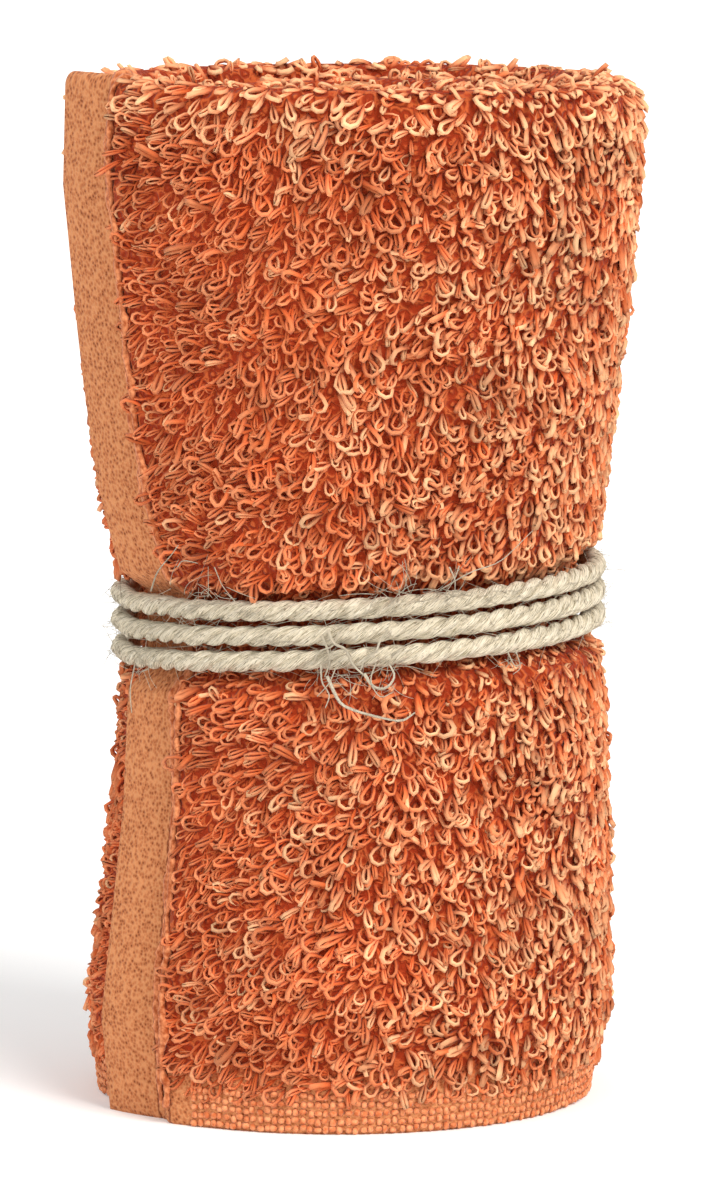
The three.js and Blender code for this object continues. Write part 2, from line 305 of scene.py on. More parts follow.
def loop_reach(loop, angle):
    """Distance from the Z axis to a closed convex loop in each direction."""
    start = loop
    edge = np.roll(loop, -1, axis=0) - start
    aim = np.stack([np.cos(angle), np.sin(angle)], -1)[..., None, :]
    across = aim[..., 0] * edge[:, 1] - aim[..., 1] * edge[:, 0]
    reach = (start[:, 0] * edge[:, 1] - start[:, 1] * edge[:, 0]) / np.where(across > 0, across, np.inf)
    return np.where(across > 0, reach, np.inf).min(-1)


def plain_outline():
    """Reach of the plain outline's taut loop in even directions, each a mean of its neighbours."""
    turn = np.arange(OUTLINE_SAMPLES) / OUTLINE_SAMPLES
    loop = outer_hull(plain_place(cloth_faces(turn)[1], EDGE_ANGLE + TURN * turn))
    raw = loop_reach(loop, TURN * turn)
    near = range(-OUTLINE_BLUR, OUTLINE_BLUR + 1)
    return np.mean([np.roll(raw, offset) for offset in near], axis=0)


OUTLINE = plain_outline()
OUTLINE_TURNS = np.arange(OUTLINE_SAMPLES + 1) / OUTLINE_SAMPLES
OUTLINE_RING = np.append(OUTLINE, OUTLINE[0])


def girth_at(height):
    """Half width of the roll at a height."""
    return np.interp(height, PROFILE_HEIGHT, PROFILE_GIRTH)


def waist_rise(x, height):
    """The pinch is tilted with the twine, and this dies out towards the floor and the top."""
    room = np.where(height < WAIST_HEIGHT, WAIST_HEIGHT, ROLL_HEIGHT - WAIST_HEIGHT)
    fade = 1 - np.abs(height - WAIST_HEIGHT) / room
    climb = TURN_PITCH / (4 * girth_at(WAIST_HEIGHT))
    return (WAIST_SLOPE + climb) * x * smooth(fade, 0, 1)


def place_on_roll(radius, angle, height):
    """Moves a point of the plain spiral to its place in the evened, pinched and leaning roll."""
    plain = plain_place(radius, angle)
    facing = np.arctan2(plain[..., 1], plain[..., 0]) / TURN % 1
    scale = girth_at(height) / np.interp(facing, OUTLINE_TURNS, OUTLINE_RING)
    skew = np.radians(np.interp(height, PROFILE_HEIGHT, PROFILE_SKEW))
    x = scale * (plain[..., 0] * np.cos(skew) - plain[..., 1] * np.sin(skew))
    y = scale * (plain[..., 0] * np.sin(skew) + plain[..., 1] * np.cos(skew))
    x = x + np.interp(height, PROFILE_HEIGHT, PROFILE_LEAN)
    return np.stack([x, y, height + waist_rise(x, height)], -1)


def fold_sizes(turn):
    """Height of the fold's shoulder and length of its arc, at a place in the roll."""
    inner, outer, layer = cloth_faces(turn)
    top = ROLL_HEIGHT - CORE_DIP * smooth(turn, DIP_START, DIP_END)
    rise = (outer - inner) / 2 + FOLD_LIFT
    half_width = (outer - inner - layer) / 2
    arc = math.pi * np.sqrt((half_width**2 + (rise - layer / 2) ** 2) / 2)
    return top - rise, arc


# Heights between which the creases start and end
CREASE_FOOT = (12, 30)
CREASE_HEAD = (120, 138)


def crease_depth(turn, across):
    """How far the soft creases of the outer wall sink in."""
    depth = 0
    for place, deepest, half_width in CREASES:
        away = (cloth_length(turn) - cloth_length(place)) / half_width
        depth = depth + deepest * np.exp(-away * away)
    return depth * smooth(across, *CREASE_FOOT) * (1 - smooth(across, *CREASE_HEAD))


def cloth_point(turn, across, lift):
    """A point of the cloth: turns from the free edge, distance across from the outer hem, up and
    over the fold and down again, and distance out from the middle of the layer."""
    inner, outer, layer = cloth_faces(turn)
    shoulder, arc = fold_sizes(turn)
    lift = lift - crease_depth(turn, across)
    half_width = (outer - inner - layer) / 2 + lift
    rise = (outer - inner) / 2 + FOLD_LIFT - layer / 2 + lift
    bend = math.pi * np.clip((across - shoulder) / arc, 0, 1)
    down = np.maximum(across - shoulder - arc, 0)
    height = np.minimum(across, shoulder) + rise * np.sin(bend) - down
    radius = (outer + inner) / 2 + half_width * np.cos(bend)
    place = place_on_roll(radius, EDGE_ANGLE + TURN * turn, height)
    return place + np.array([*CENTRE_SHIFT, 0])


FRAME_STEP = 0.2


def cloth_frame(turn, across, lift):
    """Place on the cloth, and its directions along the cloth, across it and out of it."""
    turn_step = FRAME_STEP / (TURN * MIDDLE_RADIUS)
    place = cloth_point(turn, across, lift)
    along = unit(cloth_point(turn + turn_step, across, lift) - cloth_point(turn - turn_step, across, lift))
    up = unit(cloth_point(turn, across + FRAME_STEP, lift) - cloth_point(turn, across - FRAME_STEP, lift))
    out = unit(np.cross(along, up))
    return place, along, np.cross(out, along), out


def unit(vectors):
    """Vectors of length one."""
    return vectors / np.maximum(np.linalg.norm(vectors, axis=-1, keepdims=True), 1e-9)


def drift(rng, waves, size):
    """A smooth uneven field over the cloth: a sum of waves about as long as size."""
    aims = rng.normal(0, TURN / size, (waves, 2))
    starts = rng.uniform(0, TURN, waves)

    def field(first, second):
        total = 0
        for aim, start in zip(aims, starts):
            total = total + np.cos(aim[0] * first + aim[1] * second + start)
        return total * math.sqrt(2 / waves)

    return field


# Meshes, nodes and materials


def mesh_object(name, points, faces):
    """Smooth object with a mesh from points in millimetres and their faces."""
    mesh = bpy.data.meshes.new(name)
    mesh.from_pydata((np.asarray(points) * MM).tolist(), [], [list(face) for face in faces])
    mesh.validate()
    mesh.polygons.foreach_set("use_smooth", np.full(len(mesh.polygons), True))
    made = bpy.data.objects.new(name, mesh)
    bpy.context.scene.collection.objects.link(made)
    return made


def give_values(made, name, kind, values):
    """Stores a value for each point of an object's mesh."""
    field = "vector" if kind == "FLOAT_VECTOR" else "value"
    layer = made.data.attributes.new(name, kind, "POINT")
    layer.data.foreach_set(field, np.ascontiguousarray(values).ravel())


def add_node(tree, kind, sockets=None, **settings):
    """Adds a node, gives it its settings, and fills or links its input sockets."""
    node = tree.nodes.new(kind)
    for name, value in settings.items():
        setattr(node, name, value)
    for name, value in (sockets or {}).items():
        if isinstance(value, bpy.types.NodeSocket):
            tree.links.new(value, node.inputs[name])
        else:
            node.inputs[name].default_value = value
    return node


def math_node(tree, operation, *values):
    """Result of one sum on numbers or sockets."""
    return add_node(tree, "ShaderNodeMath", dict(enumerate(values)), operation=operation).outputs[0]


def own_value(tree, name):
    """A value that the mesh carries, by its name."""
    return add_node(tree, "ShaderNodeAttribute", attribute_name=name).outputs


def ramp(tree, share, stops):
    """Colour at a share, by places and their colours."""
    node = add_node(tree, "ShaderNodeValToRGB", {0: share})
    elements = node.color_ramp.elements
    while len(elements) > 1:
        elements.remove(elements[-1])
    elements[0].position = stops[0][0]
    elements[0].color = (*stops[0][1], 1)
    for place, colour in stops[1:]:
        elements.new(place).color = (*colour, 1)
    return node.outputs[0]


def mix(tree, share, first, second):
    """Colour between a socket's and a second one, which is a socket's too or given."""
    if not isinstance(second, bpy.types.NodeSocket):
        second = (*second, 1)
    return add_node(tree, "ShaderNodeMix", {0: share, 6: first, 7: second}, data_type="RGBA").outputs[2]


def noise(tree, place, scale, detail, roughness=0.5):
    """Soft uneven grain."""
    sockets = {"Vector": place, "Scale": scale, "Detail": detail, "Roughness": roughness}
    return add_node(tree, "ShaderNodeTexNoise", sockets).outputs


def nearest_spot(tree, place, pitch, randomness):
    """Distance to the nearest of many scattered places, about a pitch apart."""
    sockets = {"Vector": place, "Scale": 1 / pitch, "Randomness": randomness}
    return add_node(tree, "ShaderNodeTexVoronoi", sockets, feature="F1").outputs["Distance"]


def surface(tree, shader, colour, height, strength, depth):
    """Gives a shader its colour and its relief, with its depth in millimetres."""
    bump = add_node(
        tree, "ShaderNodeBump", {"Height": height, "Strength": strength, "Distance": depth * MM}
    )
    tree.links.new(colour, shader.inputs["Base Color"])
    tree.links.new(bump.outputs[0], shader.inputs["Normal"])


SPECULAR = 0.18
SHEEN_ROUGHNESS = 0.45


def new_material(name, roughness, sheen):
    """Material with an empty principled shader, and that shader."""
    material = bpy.data.materials.new(name)
    material.use_nodes = True
    shader = material.node_tree.nodes["Principled BSDF"]
    shader.inputs["Roughness"].default_value = roughness
    shader.inputs["Specular IOR Level"].default_value = SPECULAR
    shader.inputs["Sheen Weight"].default_value = sheen
    shader.inputs["Sheen Roughness"].default_value = SHEEN_ROUGHNESS
    return material, shader


YARN_TWIST = 2.2


def twist_stripes(tree):
    """Height of the two plies that run round a yarn, from its own attribute."""
    parts = add_node(tree, "ShaderNodeSeparateXYZ", {0: own_value(tree, "yarn")["Vector"]}).outputs
    phase = math_node(tree, "MULTIPLY", parts[0], TURN / YARN_TWIST)
    across = math_node(tree, "MULTIPLY", math_node(tree, "SINE", phase), parts[1])
    both = math_node(tree, "MULTIPLY_ADD", math_node(tree, "COSINE", phase), parts[2], across)
    return math_node(tree, "ABSOLUTE", both)


def cotton_pile_material(sizes):
    """Ring-spun cotton yarn, piece dyed and left uncut: matt and a little hairy, with painted shade that
    makes it dark and saturated down in the pile, and a painted highlight on the heads of the loops."""
    material, shader = new_material("ring_spun_cotton_pile", 0.9, 0.05)
    tree = material.node_tree
    rise, tone, pale = (own_value(tree, name)["Fac"] for name in ("rise", "tone", "pale"))
    # Painted shade at the roots of the loops and painted highlight on their heads, by how high each point
    # rises
    depth = ramp(tree, rise, [(0.0, sizes.shaded_root_colour), (0.5, sizes.yarn_colour), (1.0, sizes.lit_head_colour)])
    # Pale colour towards the heads of the pale loops: partly less dye, partly painted highlight on the
    # right and over the rim
    pale_and_lit = mix(tree, math_node(tree, "MULTIPLY", pale, rise), depth, sizes.pale_and_lit_colour)
    # Brightness by tone: random from loop to loop, and raised over the rim as a painted highlight
    dyed = add_node(tree, "ShaderNodeHueSaturation", {"Value": tone, "Color": pale_and_lit})
    surface(tree, shader, dyed.outputs[0], twist_stripes(tree), 0.5, 0.12)
    return material


GROUND_GRAIN = 1.9
LOOP_PRINT = 1.5
LOOP_PRINT_RINGS = 11.0
SPECKLE_PITCH = 0.58
# Dark lines of painted shade beside the ridges: where they lie along the cloth, their half width, range and
# sway
RIDGE_SHADE_LENGTHS = (12.0, 14.1, 16.3)
RIDGE_SHADE_HALF = 0.32
RIDGE_SHADE_RANGE = 20
RIDGE_SHADE_SWAY = 1.6


def ridge_shade_stops():
    """Places along the cloth of the dark lines of painted shade beside the ridges, as colour ramp stops."""
    stops = [(0, (0, 0, 0))]
    for length in RIDGE_SHADE_LENGTHS:
        for away, dark in ((-RIDGE_SHADE_HALF, 0), (0, 1), (RIDGE_SHADE_HALF, 0)):
            stops.append(((length + away) / RIDGE_SHADE_RANGE, (dark, dark, dark)))
    return stops


def cotton_ground_material(sizes):
    """Plain-woven cotton ground: painted shade makes it deep and saturated under the pile, with the feet of
    more loops, and paler with a fine dark speckle between its threads where the band and the border are
    flat, with dark lines of painted shade beside the ridges."""
    material, shader = new_material("plain_woven_cotton_ground", 0.9, 0.05)
    tree = material.node_tree
    place = own_value(tree, "cloth")["Vector"]
    flat = own_value(tree, "flat")["Fac"]
    wobble = noise(tree, place, 1 / GROUND_GRAIN, 3, 0.6)
    threads = nearest_spot(tree, place, SPECKLE_PITCH, 0.85)
    uneven = math_node(tree, "MULTIPLY_ADD", wobble[0], 0.5, threads)
    speckle = ramp(
        tree,
        uneven,
        [
            (0.38, linear("#80401C")),
            (0.52, linear("#AE663C")),
            (0.7, linear("#BF7548")),
            (0.95, sizes.band_colour),
        ],
    )
    along = add_node(tree, "ShaderNodeSeparateXYZ", {0: place}).outputs[0]
    swayed = math_node(tree, "MULTIPLY_ADD", wobble[0], RIDGE_SHADE_SWAY, along)
    centred = math_node(tree, "SUBTRACT", swayed, RIDGE_SHADE_SWAY / 2)
    # Painted shade: dark lines along the cloth beside the ridges
    ridge_shade = ramp(tree, math_node(tree, "DIVIDE", centred, RIDGE_SHADE_RANGE), ridge_shade_stops())
    banded = mix(tree, ridge_shade, speckle, linear("#6E2A0E"))
    bent = add_node(tree, "ShaderNodeVectorMath", {0: wobble["Color"], "Scale": 1.1}, operation="SCALE")
    moved = add_node(tree, "ShaderNodeVectorMath", {0: place, 1: bent.outputs[0]}, operation="ADD")
    feet = nearest_spot(tree, moved.outputs[0], LOOP_PRINT, 1.0)
    waves = math_node(tree, "SINE", math_node(tree, "MULTIPLY", feet, LOOP_PRINT_RINGS))
    raised = math_node(tree, "MULTIPLY_ADD", waves, 0.5, 0.5)
    # Painted shade: the ground under the pile is dark, darkest in the hollows between the rings of loop
    # feet
    under = ramp(
        tree, raised, [(0.1, linear("#8E2B09")), (0.6, linear("#A83E1A")), (0.95, linear("#BA572A"))]
    )
    relief = add_node(tree, "ShaderNodeMix", {0: flat, 2: raised, 3: uneven}, data_type="FLOAT")
    surface(tree, shader, mix(tree, flat, under, banded), relief.outputs[0], 0.9, 0.4)
    return material


def cotton_thread_material(name, light, dark, grain_mm):
    """Mercerised cotton thread of the border and the ridges: smoother than the pile, with a
    faint mottle of its twist."""
    material, shader = new_material(name, 0.8, 0.15)
    tree = material.node_tree
    place = add_node(tree, "ShaderNodeTexCoord").outputs["Object"]
    grain = noise(tree, place, 1 / (grain_mm * MM), 2)[0]
    surface(tree, shader, ramp(tree, grain, [(0.35, dark), (0.65, light)]), grain, 0.5, 0.15)
    return material


STREAKS = ((1 / 3.2, 3.2, 3.2), 1.6, 4, 0.7)
FLECKS = ((1 / 1.3, 5.5, 5.5), 1.3, 2, 0.5)


def jute_material(settings, name, shade_and_fleck_share):
    """Natural jute, carded and spun dry: pale and matt, streaked along its fibres, with painted shade
    between the fibres at the streaks' dark end, and darker flecks of bark."""
    material, shader = new_material(name, 0.85, 0.1)
    tree = material.node_tree
    yarn = own_value(tree, "yarn")["Vector"]
    grains = []
    for stretch, scale, detail, roughness in (STREAKS, FLECKS):
        stretched = add_node(tree, "ShaderNodeMapping", {"Vector": yarn, "Scale": stretch})
        grains.append(noise(tree, stretched.outputs[0], scale, detail, roughness)[0])
    streaks, flecks = grains
    # The streaks' dark end is painted shade between the fibres: full on the plies, less on loose fibres and
    # strands
    low = tuple(
        light + shade_and_fleck_share * (dark - light)
        for light, dark in zip(settings.jute_colour, settings.fibre_shade_colour)
    )
    tone = ramp(
        tree, streaks, [(0.34, low), (0.5, settings.jute_colour), (0.66, linear("#FBF1DC"))]
    )
    bark = ramp(tree, flecks, [(0.32, [shade_and_fleck_share] * 3), (0.41, (0, 0, 0))])
    surface(tree, shader, mix(tree, bark, tone, linear("#6E5C3C")), streaks, 1.0, 0.45)
    return material


def walls_between(rings, next_rings):
    """Faces from rings of points to the next ones."""
    corners = [rings, np.roll(rings, -1, axis=-1), np.roll(next_rings, -1, axis=-1), next_rings]
    return np.stack(corners, -1).reshape(-1, 4)


def yarn_values(length, angle):
    """Where each point lies on its yarn: the length so far, and its angle's cosine and sine."""
    parts = (length[..., None], np.cos(angle), np.sin(angle))
    return np.stack([np.broadcast_to(part, length.shape + angle.shape) for part in parts], -1)


def carried_sides(tangent):
    """Side directions along many lines, carried from step to step without a twist."""
    spare = np.where(np.abs(tangent[:, :1, 2:]) < 0.9, [[[0, 0, 1.0]]], [[[1.0, 0, 0]]])
    side = np.repeat(unit(np.cross(tangent[:, :1], spare)), tangent.shape[1], axis=1)
    for step in range(tangent.shape[1]):
        before = side[:, max(step - 1, 0)]
        along = np.sum(before * tangent[:, step], -1, keepdims=True) * tangent[:, step]
        side[:, step] = unit(before - along)
    return side


def tubes(lines, radii, sides, flatten=1.0, side=None):
    """Closed tubes along many lines of equal count: their points, faces and yarn values."""
    lines = np.asarray(lines, float)
    count, steps, _ = lines.shape
    tangent = unit(np.gradient(lines, axis=1))
    if side is None:
        side = carried_sides(tangent)
    lift = flatten * np.cross(tangent, side)
    angle = TURN * np.arange(sides) / sides
    reach = np.broadcast_to(np.asarray(radii, float), (count, steps))[..., None, None]
    ring = np.cos(angle)[:, None] * side[:, :, None, :] + np.sin(angle)[:, None] * lift[:, :, None, :]
    points = lines[:, :, None, :] + reach * ring
    length = np.cumsum(np.linalg.norm(np.diff(lines, axis=1, prepend=lines[:, :1]), axis=-1), axis=1)
    index = np.arange(count * steps * sides).reshape(count, steps, sides)
    walls = walls_between(index[:, :-1], index[:, 1:]).tolist()
    ends = index[:, 0, ::-1].tolist() + index[:, -1].tolist()
    return points.reshape(-1, 3), walls + ends, yarn_values(length, angle)


def tube_object(name, material, *settings, **more):
    """Object made of closed tubes, with their yarn values and a material."""
    points, faces, yarn = tubes(*settings, **more)
    made = mesh_object(name, points, faces)
    give_values(made, "yarn", "FLOAT_VECTOR", yarn)
    made.data.materials.append(material)
    return made


COPY_INPUTS = (
    ("Geometry", "Geometry"),
    ("Shapes", "Collection"),
    ("Size", "Float"),
    ("Unevenness", "Float"),
    ("Seed", "Int"),
    ("Material", "Material"),
)


def copies_tree(name):
    """Geometry Nodes tree that sets one of several shapes on each point, turned and sized by the
    point's own values, and makes them one real mesh."""
    tree = bpy.data.node_groups.new(name, "GeometryNodeTree")
    for label, kind in COPY_INPUTS:
        tree.interface.new_socket(name=label, in_out="INPUT", socket_type="NodeSocket" + kind)
    tree.interface.new_socket(name="Geometry", in_out="OUTPUT", socket_type="NodeSocketGeometry")
    given = add_node(tree, "NodeGroupInput").outputs
    shapes = add_node(
        tree,
        "GeometryNodeCollectionInfo",
        {"Collection": given["Shapes"], "Separate Children": True, "Reset Children": True},
    )
    shape, turned, sized = (
        add_node(tree, "GeometryNodeInputNamedAttribute", {"Name": label}, data_type=kind).outputs[0]
        for label, kind in (("shape", "INT"), ("turned", "FLOAT_VECTOR"), ("sized", "FLOAT_VECTOR"))
    )
    least, most = (
        math_node(tree, operation, given["Size"], given["Unevenness"]) for operation in ("SUBTRACT", "ADD")
    )
    chance = add_node(
        tree, "FunctionNodeRandomValue", {2: least, 3: most, "Seed": given["Seed"]}, data_type="FLOAT"
    )
    scale = add_node(
        tree, "ShaderNodeVectorMath", {0: sized, "Scale": chance.outputs[1]}, operation="SCALE"
    )
    turning = add_node(tree, "FunctionNodeEulerToRotation", {0: turned})
    placed = add_node(
        tree,
        "GeometryNodeInstanceOnPoints",
        {
            "Points": given["Geometry"],
            "Instance": shapes.outputs[0],
            "Pick Instance": True,
            "Instance Index": shape,
            "Rotation": turning.outputs[0],
            "Scale": scale.outputs[0],
        },
    )
    real = add_node(tree, "GeometryNodeRealizeInstances", {0: placed.outputs[0]})
    covered = add_node(tree, "GeometryNodeSetMaterial", {0: real.outputs[0], "Material": given["Material"]})
    add_node(tree, "NodeGroupOutput", {0: covered.outputs[0]})
    return tree


def set_copies(name, points, values, shapes, material, unevenness, seed):
    """Sets shapes on points by the tree, and turns the result into one plain mesh object."""
    carrier = mesh_object(name, points, [])
    for label, (kind, numbers) in values.items():
        give_values(carrier, label, kind, numbers)
    holder = bpy.data.collections.new(name + "_shapes")
    for made in shapes:
        holder.objects.link(made)
    tree = copies_tree(name + "_tree")
    modifier = carrier.modifiers.new("copies", "NODES")
    modifier.node_group = tree
    inputs = {
        "Shapes": holder,
        "Size": 1.0,
        "Unevenness": unevenness,
        "Seed": seed,
        "Material": material,
    }
    for socket in tree.interface.items_tree:
        if socket.in_out == "INPUT" and socket.name in inputs:
            modifier[socket.identifier] = inputs[socket.name]
    carrier.update_tag()
    graph = bpy.context.evaluated_depsgraph_get()
    graph.update()
    mesh = bpy.data.meshes.new_from_object(carrier.evaluated_get(graph), depsgraph=graph)
    mesh.name = name
    carrier.modifiers.remove(modifier)
    old = carrier.data
    carrier.data = mesh
    bpy.data.meshes.remove(old)
    for made in shapes:
        holder.objects.unlink(made)
    bpy.data.collections.remove(holder)
    if not len(mesh.polygons):
        raise RuntimeError(name + ": the tree made no faces")
    return carrier


def drop_shapes(shapes):
    """Deletes the shapes that the copies were made from."""
    for made in shapes:
        mesh = made.data
        bpy.data.objects.remove(made)
        bpy.data.meshes.remove(mesh)


def euler_of(side, bend, aim):
    """Euler angles of the turn that takes X, Y and Z to three given directions."""
    return np.stack(
        [
            np.arctan2(bend[:, 2], aim[:, 2]),
            -np.arcsin(np.clip(side[:, 2], -1, 1)),
            np.arctan2(side[:, 1], side[:, 0]),
        ],
        -1,
    )


# Pile


LOOP_SIDES = 3
YARN_FULLNESS = 1.22
LOOP_STATIONS = np.array([0, 0.14, 0.25, 0.35, 0.45, 0.55, 0.65, 0.75, 0.86])
LOOP_SHAPES = (
    # width, length, bow, twist, sway to one side
    (1.0, 1.0, 0.3, 0.0, 0.0),
    (0.85, 1.08, 0.5, 0.3, 0.3),
    (1.15, 0.92, 0.2, -0.2, -0.25),
    (0.55, 1.15, 0.5, 0.4, 0.4),
    (0.65, 1.05, 0.4, -0.4, -0.4),
    (0.95, 0.85, 0.6, 0.2, 0.2),
    (0.45, 1.2, 0.3, 0.3, -0.3),
    (1.25, 1.1, 0.3, -0.3, 0.1),
    (0.75, 0.95, 0.7, 0.9, 0.7),
    (0.55, 1.0, 0.4, -0.6, -0.5),
)


def loop_line(width, length, bow, twist, sway):
    """Middle line of one loop: a closed drop that stands on its narrow end, bowed and twisted."""
    turn = TURN * LOOP_STATIONS
    climb = (1 - np.cos(turn)) / 2
    spread = 0.5 * width * (1.54 * np.sin(turn) * climb + 0.16 * np.sin(turn))
    twisting = twist * climb
    x = spread * np.cos(twisting) + sway * length * 0.3 * climb**2
    y = spread * np.sin(twisting) + bow * (climb**2 - 0.3 * climb)
    return np.stack([x, y, length * climb], -1), climb


def loop_shape(number, sizes):
    """One pile loop as a closed ring of yarn, with how high each point rises."""
    width, length, bow, twist, sway = LOOP_SHAPES[number]
    radius = sizes.yarn_radius / MM
    width = width * sizes.loop_width / MM - 2 * radius
    line, climb = loop_line(width, length * sizes.loop_length / MM - radius, bow, twist, sway)
    tangent = unit(np.roll(line, -1, axis=0) - np.roll(line, 1, axis=0))
    across = unit(np.cross([0.0, 1.0, 0.0], tangent))
    lift = np.cross(tangent, across)
    angle = TURN * (np.arange(LOOP_SIDES) + 0.25) / LOOP_SIDES
    ring = np.cos(angle)[:, None] * across[:, None, :] + np.sin(angle)[:, None] * lift[:, None, :]
    points = line[:, None, :] + radius * YARN_FULLNESS * ring
    index = np.arange(len(line) * LOOP_SIDES).reshape(len(line), LOOP_SIDES)
    faces = walls_between(index, np.roll(index, -1, axis=0)).tolist()
    made = mesh_object(f"loop_{number}", points.reshape(-1, 3), faces)
    length_so_far = np.cumsum(np.linalg.norm(line - np.roll(line, 1, axis=0), axis=-1))
    give_values(made, "yarn", "FLOAT_VECTOR", yarn_values(length_so_far, angle))
    give_values(made, "rise", "FLOAT", np.repeat(climb, LOOP_SIDES))
    bpy.context.scene.collection.objects.unlink(made)
    return made


CORE_FROM = 2.65
CORE_DEPTH = 26
FOLD_SKIRT = 3.2
RIM_ROWS = 5.5
SPARSER = 1.22
SPARSER_FACING = (85, 130)
LEAST_REACH = 4
ROOT_JITTER = 0.34
HEM_CLEARANCE = 0.8
HEM_LEAST = 0.3
ROOT_SINK = 0.2


def pile_spacing(turn, spacing):
    """Distance from loop to loop: as set on the front, and a fifth more behind and on top."""
    facing = (turn * 360 + math.degrees(EDGE_ANGLE) + 90 + 180) % 360 - 180
    behind = float(smooth(abs(facing), *SPARSER_FACING))
    return spacing * (1 + (SPARSER - 1) * (behind if turn < WALL_END else 1))


def pile_columns(spacing):
    """Places round the roll, a loop's spacing apart, that get a row of loops from hem to hem."""
    turn = float(turn_at(PILE_FROM))
    last = float(turn_at(TOWEL_LENGTH - PILE_FROM))
    columns = []
    while turn < last:
        columns.append(turn)
        inner, outer, _ = cloth_faces(turn)
        reach = outer if turn < WALL_END else (inner + outer) / 2
        turn += pile_spacing(turn, spacing) / (TURN * max(float(reach), LEAST_REACH))
    return columns


def pile_roots(rng, spacing):
    """Turn and distance across for every loop that can be seen."""
    turns, places = [], []
    for number, turn in enumerate(pile_columns(spacing)):
        gap = pile_spacing(turn, spacing)
        shoulder, arc = (float(value) for value in fold_sizes(turn))
        first = BORDER_HEIGHT + HEM_CLEARANCE if turn < WALL_END else shoulder - FOLD_SKIRT
        last = shoulder + arc + (CORE_DEPTH if turn > CORE_FROM else FOLD_SKIRT)
        dense_end = shoulder + RIM_ROWS * (turn < WALL_END)
        wall = np.arange(first + gap * 0.5 * (number % 2), dense_end, gap)
        wide = spacing * SPARSER
        rows = np.append(wall, np.arange(wall[-1] + wide, last, wide))
        places.append(rows + rng.uniform(-ROOT_JITTER, ROOT_JITTER, len(rows)) * gap)
        around = TURN * max(MIDDLE_RADIUS - LAYER_PITCH * turn, LEAST_REACH)
        turns.append(turn + rng.uniform(-ROOT_JITTER, ROOT_JITTER, len(rows)) * gap / around)
    return np.concatenate(turns), np.maximum(np.concatenate(places), BORDER_HEIGHT + HEM_LEAST)


# How the loops lie, by angle round the roll from its front. Direction is that of their heads,
# seen from outside, from right over up; stand is their slope off the cloth; all in degrees.
LIE_BY_FACING = (
    # facing, direction, its scatter, stand, roll, length, width, share of pale loops (some took less dye;
    # the high share on the right is a painted highlight of the light from that side)
    (-180, 245, 36, 20, 20, 1.0, 0.9, 0.12),
    (-75, 208, 18, 9, 14, 1.1, 0.6, 0.03),
    (-38, 212, 24, 11, 15, 1.12, 0.74, 0.06),
    (-12, 230, 38, 15, 18, 1.02, 0.92, 0.16),
    (15, 248, 44, 24, 26, 0.94, 0.95, 0.38),
    (45, 246, 32, 27, 34, 0.88, 0.86, 0.66),
    (80, 238, 22, 12, 30, 0.92, 0.72, 0.6),
    (120, 250, 34, 18, 24, 1.0, 0.85, 0.25),
    (180, 245, 36, 20, 20, 1.0, 0.9, 0.12),
)
# The loops over the rim lie flat every way, and are pale and brighter: a painted highlight of the light
# from above
TOP_STAND = 7
TOP_TURN = 0.05
TOP_FROM = 3.6
TOP_LENGTH = 0.9
TOP_HIGHLIGHT_SHARE = 1.0
TOP_HIGHLIGHT_TONE = 1.12
TOP_HIGHLIGHT_FROM = -2.5

# The loops under the twine are pressed short
PINCH = (63.5, 79.5)
PINCH_STAND = (8, 24)
PINCH_SIZE = 0.8

# Unevenness of the loops: how far it goes, and number and length of the waves it drifts in
HEADING_DRIFT = 16
HEADING_WAVES = (9, 22)
HEADING_SCATTER = 0.8
STAND_RANGE = (0.45, 1.6)
TOP_STAND_RANGE = (0.4, 1.6)
SIZE_SCATTER = 0.14
DYE_DRIFT = 0.1
DYE_WAVES = (8, 30)
PALE_AND_LIT_PALENESS = (0.45, 1)
DYED_PALENESS = (0, 0.25)
TONE_DRIFT = 0.06
TONE_WAVES = (8, 18)
TONE_SCATTER = 0.12
TONE_RANGE = (0.65, 1.35)


def facing_of(place):
    """Degrees round the roll from its front, anticlockwise seen from above."""
    return (np.degrees(np.arctan2(place[:, 1], place[:, 0])) + 270) % 360 - 180


